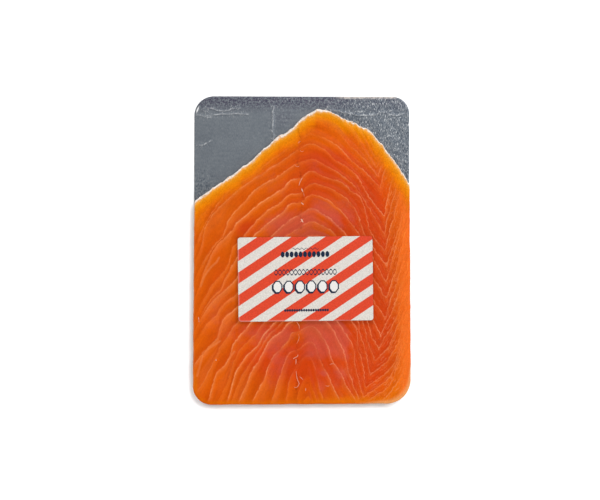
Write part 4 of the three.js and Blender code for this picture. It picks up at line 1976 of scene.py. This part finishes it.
@dataclass(frozen=True)
class RoundedPlate:
    """A flat plate with four rounded corners."""

    width: float
    length: float
    middle: Pair  # Its middle
    turn: float  # How far it is turned counter-clockwise, degrees
    # Radii of the near left, near right, far right and far left corner
    radii: tuple[float, float, float, float]

    def laid(self, x: Array, y: Array) -> tuple[Array, Array]:
        """Turn and move points to where the plate lies.

        Args:
            x, y: The points, mm from its middle.

        Returns:
            Their abscissas and ordinates, mm.
        """
        turn = math.radians(self.turn)
        cos, sin = math.cos(turn), math.sin(turn)
        return self.middle[0] + x * cos - y * sin, self.middle[1] + x * sin + y * cos

    def outline(self, inset: float, step: float) -> Array:
        """Return its outline, counter-clockwise.

        Args:
            inset: How far it is moved in, mm.
            step: Length of a step on a corner, mm.

        Returns:
            The points, mm.
        """
        half_x, half_y = self.width / 2, self.length / 2
        signs = ((-1, -1), (1, -1), (1, 1), (-1, 1))
        loop = []
        for (sx, sy), radius, start in zip(signs, self.radii, (180, 270, 0, 90)):
            count = max(4, round(radius * math.pi / 2 / step))
            turns = np.radians(np.linspace(start, start + 90, count + 1))
            reach = radius - inset
            x = sx * (half_x - radius) + reach * np.cos(turns)
            y = sy * (half_y - radius) + reach * np.sin(turns)
            loop.append(np.column_stack(self.laid(x, y)))
        return np.concatenate(loop)

    def grid(self, step: float, row_shares: Array) -> tuple[Array, Array, Array, tuple[int, int]]:
        """Return points that fill it, column by column, and their distances to its edge.

        Args:
            step: Width of a column, mm.
            row_shares: Where the rows lie, from 0 at the near edge to 1 at the far edge.

        Returns:
            The abscissas, ordinates, distances and the numbers of columns and rows.
        """
        near_left, near_right, far_right, far_left = self.radii
        first, last = max(near_left, far_left), max(near_right, far_right)
        share = shares_round_corners(self.width, first, last, step)
        offset, rest = share * self.width, (1 - share) * self.width
        low = corner_cut(offset, near_left) + corner_cut(rest, near_right)
        high = self.length - corner_cut(offset, far_left) - corner_cut(rest, far_right)
        y = low[:, None] + (high - low)[:, None] * row_shares
        x = offset[:, None] + np.zeros_like(y)
        distance = self._to_edge(x, y)
        shape = (len(share), len(row_shares))
        x, y = self.laid(x - self.width / 2, y - self.length / 2)
        return x.ravel(), y.ravel(), distance.ravel(), shape

    def _to_edge(self, x: Array, y: Array) -> Array:
        """Return the distance to the edge.

        Args:
            x, y: The points, mm from its left and near side.

        Returns:
            The distances, mm.
        """
        rest_x, rest_y = self.width - x, self.length - y
        distance = np.minimum(np.minimum(x, rest_x), np.minimum(y, rest_y))
        corners = ((x, y), (rest_x, y), (rest_x, rest_y), (x, rest_y))
        for radius, (dx, dy) in zip(self.radii, corners):
            inside = (dx < radius) & (dy < radius)
            rounded = radius - np.hypot(radius - dx, radius - dy)
            distance = np.where(inside, rounded, distance)
        return np.maximum(distance, 0)

    def slab(self, levels: Sequence[Pair], step: float = 0.7) -> Surface:
        """Return a closed slab.

        Args:
            levels: Inset and height of its rings from the top down, mm.
            step: Length of a step on a corner, mm.

        Returns:
            Its surface.
        """
        top, *rings = [at_level(self.outline(inset, step), height) for inset, height in levels]
        border = range(len(top))
        return Surface(*add_walls(top, [border], border, rings))


CREASES: tuple[tuple[Pair, ...], ...] = (
    ((-58.6, 85.0), (-53.9, 84.8), (-49.9, 83.3), (-46.5, 83.1), (-44.0, 83.3), (-41.5, 84.6),
     (-36.6, 85.0)),
    ((-59.8, 83.8), (-56.3, 82.9), (-54.8, 81.8)),
    ((-63.0, 80.6), (-61.3, 80.8), (-56.3, 79.3), (-53.9, 79.5)),
    ((-56.9, 80.4), (-51.4, 80.8), (-47.4, 81.4), (-44.0, 81.1), (-39.1, 81.6), (-31.8, 81.1)),
    ((-16.5, 85.9), (-17.3, 82.4), (-17.0, 77.2), (-17.6, 73.5), (-17.7, 71.3), (-16.6, 68.3),
     (-17.0, 65.8)),
    ((17.1, 83.7), (19.8, 83.3), (25.8, 82.1), (28.7, 81.6), (33.5, 80.5), (39.1, 80.6),
     (44.0, 80.8), (46.5, 82.3), (48.5, 82.4), (50.5, 81.8), (53.5, 80.8), (57.4, 80.4),
     (60.4, 81.6)),
    ((-62.8, 62.6), (-58.8, 62.8), (-54.4, 65.3)),
    ((14.2, 83.6), (15.0, 85.0), (16.3, 86.9)),
)
GLINT = Patch(-62.0, 83.9, 2.2, 0.55, 70.0)
# A darker patch of foil beside the salmon's peak
FOIL_DARKENING = Patch(-10.5, 79.5, 7.0, 6.0, 0.0, 0.5)


@dataclass
class Board:
    """The foil-faced board: card between two foils."""

    plate: RoundedPlate = RoundedPlate(128.0, 181.6, (-0.1, 0.95), -0.2, (10.0, 14.0, 10.0, 11.5))
    thickness: float = BOARD_THICKNESS
    lip: float = 0.14  # How far the foil bends down over its edge
    back: float = 0.08  # Thickness of the foil under it
    bare_from: float = 0.6  # Where the bare foil starts, as a share of the length
    cell: float = 0.5  # Size of the cells of the bare foil
    fold_down: float = 0.08  # How far its border is pressed down
    crease_reach: float = 5.0  # Largest stored distance to a crease

    def build(self, frame: Frame) -> None:
        """Make its pieces and hang them.

        Args:
            frame: The frame.
        """
        foil = FoilFinish().material()
        card = CardFinish().material()
        low, high = self.back, self.thickness - self.lip
        core = self.plate.slab(((0.05, high), (0.0, high - 0.1), (0.0, low + 0.1), (0.05, low)))
        back = self.plate.slab(((0.02, low), (0.02, 0.03), (0.12, 0.0)))
        plain = np.zeros(len(back.points))
        names = ("sparkle", "dusk", "rippled", "hem", "glint")
        back.stored = {**dict.fromkeys(names, plain), "crease": plain + self.crease_reach}
        frame.hang(self._face(), "foil_face", foil, Node.BOARD)
        frame.hang(core, "board_card", card, Node.BOARD, smooth=False)
        frame.hang(back, "foil_back", foil, Node.BOARD, smooth=False)

    def _face(self) -> Surface:
        """Make the upper foil, creased where it is bare.

        Returns:
            Its surface.
        """
        hidden = np.linspace(0, self.bare_from, 24, endpoint=False)
        count = round((1 - self.bare_from) * self.plate.length / self.cell)
        rows = np.concatenate([hidden, np.linspace(self.bare_from, 1, count + 1)])
        x, y, distance, shape = self.plate.grid(self.cell, rows)
        bare = rise(8.0, 16.0, y)
        right = rise(2.0, 34.0, x)
        crinkle = SmoothNoise(5, 2.2, 3)(x, y * 0.7) * (0.008 + 0.03 * right)
        rolled = SmoothNoise(6, 1.1, 2)(x, y * 0.4) * (0.005 + 0.018 * right)
        crease = distance_to_paths(CREASES, x, y)
        fold = 0.06 * np.exp(-((crease / 0.5) ** 2))
        level = rise(0.0, 1.2, distance)
        drop = self.fold_down * (1 - rise(0.0, 0.15, distance))
        z = self.thickness - drop + bare * level * (crinkle + rolled + fold)
        to_end = self.plate.middle[1] + self.plate.length / 2 - y
        stored = {
            "sparkle": right,
            "crease": np.minimum(crease, self.crease_reach),
            "dusk": np.maximum(
                rise(12.0, 2.0, to_end) * (0.5 + 0.5 * rise(34.0, 16.0, x)),
                FOIL_DARKENING.weight(x, y),
            ),
            "rippled": rise(-46.0, -60.0, x) * rise(52.0, 38.0, y),
            "hem": rise(1.9, 0.7, to_end) * rise(18, 27, x) * rise(58, 54, x),
            "glint": np.clip(2.0 * GLINT.weight(x, y) - 0.6, 0, 1),
        }
        return Sheet(np.stack([x, y, z], 1), shape, stored).closed_at(self.thickness - self.lip)


@dataclass
class Label:
    """The paper label."""

    plate: RoundedPlate = RoundedPlate(*LABEL_SIZE, LABEL_MIDDLE, LABEL_TURN, (1.6, 1.6, 1.6, 1.6))
    base: float = FACE_HEIGHT  # Height of its underside
    thickness: float = 0.25
    cell: float = 1.0
    bow: float = 0.03  # Height of its broad waves
    fold_down: float = 0.05  # How far its border is pressed down

    def build(self, frame: Frame) -> None:
        """Make it and hang it.

        Args:
            frame: The frame.
        """
        radius = self.plate.radii[0]
        rows = shares_round_corners(self.plate.length, radius, radius, self.cell)
        x, y, distance, shape = self.plate.grid(self.cell, rows)
        waves = SmoothNoise(8, 24.0, 2)(x, y) * self.bow
        z = self.base + self.thickness - self.fold_down * (1 - rise(0, 0.15, distance))
        z = z + waves * rise(0, 4, distance)
        # Where the painted highlight along the left and near edges lies
        low_left = np.minimum(x - x.min() - 0.6, y - y.min() - 0.5)
        cut = rise(0.75, 0.25, np.maximum(distance, low_left))
        surface = Sheet(np.stack([x, y, z], 1), shape, {"cut": cut}).closed_at(self.base)
        paper = LabelFinish(middle=self._middle_in(frame)).material()
        frame.hang(surface, "paper_label", paper, Node.LABEL)

    def _middle_in(self, frame: Frame) -> Pair:
        """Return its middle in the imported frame, mm."""
        x, y = self.plate.middle
        return x + frame.origin.x, y + frame.origin.y


# The stage
# ---------


@dataclass(frozen=True)
class Softbox:
    """An area light that faces the object."""

    name: str
    place: tuple[float, float, float]  # Where it hangs, m
    width: float  # m
    depth: float  # m
    power: float  # W

    def build(self) -> None:
        """Make the light."""
        data = bpy.data.lights.new(self.name, "AREA")
        data.shape = "RECTANGLE"
        data.size = self.width
        data.size_y = self.depth
        data.energy = self.power
        light = bpy.data.objects.new(self.name, data)
        light.location = self.place
        light.rotation_euler = (-Vector(self.place)).to_track_quat("-Z", "Y").to_euler()
        bpy.context.scene.collection.objects.link(light)


@dataclass
class Studio:
    """Floor, camera and light."""

    view_width: float = 356.1  # Width of the camera's view
    view_middle: Pair = (-0.95, 0.24)  # What the camera looks straight down at
    height: float = 1200.0  # How far above that it is
    face: float = FACE_HEIGHT  # Height of the salmon's face
    sensor: float = 36.0  # Width of its sensor
    floor_size: float = 8.0  # m
    floor_lines: int = 9  # Points along each side of it
    floor_level: float = -0.02  # Height of its face
    lights: tuple[Softbox, ...] = many(
        Softbox,
        ("key", (1.4, 1.3, 2.95), 2.0, 2.0, 137.0),
        ("fill", (-1.8, 1.8, 2.2), 2.0, 2.0, 36.0),
        ("low", (0.4, -2.4, 2.0), 2.4, 1.4, 28.0),
    )

    def build(self, frame: Frame) -> None:
        """Make the floor, the camera and the light.

        Args:
            frame: The frame.
        """
        self._floor()
        self._camera(frame)
        for light in self.lights:
            light.build()
        self._sky()
        bpy.context.scene.view_settings.view_transform = "Standard"

    def _floor(self) -> None:
        """Make the floor."""
        half, count = self.floor_size / 2, self.floor_lines
        lines = np.linspace(-half, half, count) / MM
        x, y = np.meshgrid(lines, lines, indexing="ij")
        points = np.stack([x.ravel(), y.ravel(), np.full(x.size, self.floor_level)], 1)
        surface = Surface(points, grid_faces(count, count))
        floor = surface.piece("floor", FloorFinish().material(), Vector())

    def _camera(self, frame: Frame) -> None:
        """Make the camera.

        Args:
            frame: The frame.
        """
        data = bpy.data.cameras.new("camera")
        data.sensor_width = self.sensor
        data.sensor_fit = "HORIZONTAL"
        data.lens = self.sensor * self.height / self.view_width
        data.clip_end = 20.0
        camera = bpy.data.objects.new("camera", data)
        camera.location = (frame.origin + Vector((*self.view_middle, self.face + self.height))) * MM
        bpy.context.scene.collection.objects.link(camera)
        bpy.context.scene.camera = camera

    @staticmethod
    def _sky() -> None:
        """Make a soft sky that is dimmest overhead."""
        world = bpy.data.worlds.new("studio")
        net = Net(world)
        _, _, up = net.node("ShaderNodeTexCoord", {}, {}, "Generated").parts()
        stops = ((0.0, (0.8, 0.8, 0.8)), (0.6, (0.7, 0.7, 0.705)), (0.97, (0.08, 0.08, 0.085)))
        color = net.node("ShaderNodeValToRGB", {"stops": stops}, {"Fac": up})
        sky = net.node("ShaderNodeBackground", {}, {"Color": color, "Strength": 1.0})
        net.make("ShaderNodeOutputWorld", {}, {"Surface": sky})
        bpy.context.scene.world = world


# The whole
# ---------


def main() -> None:
    """Build the pieces round the frame."""
    logging.basicConfig(level=logging.INFO, format="%(name)s: %(message)s")
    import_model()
    label = Label()
    frame = Frame.lined_up(label.plate.middle)
    LOG.info("the drawing's origin lies at %s mm", tuple(frame.origin))
    Studio().build(frame)
    Board().build(frame)
    SalmonStack().build(frame)
    label.build(frame)
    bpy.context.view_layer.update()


if __name__ == "__main__":
    main()
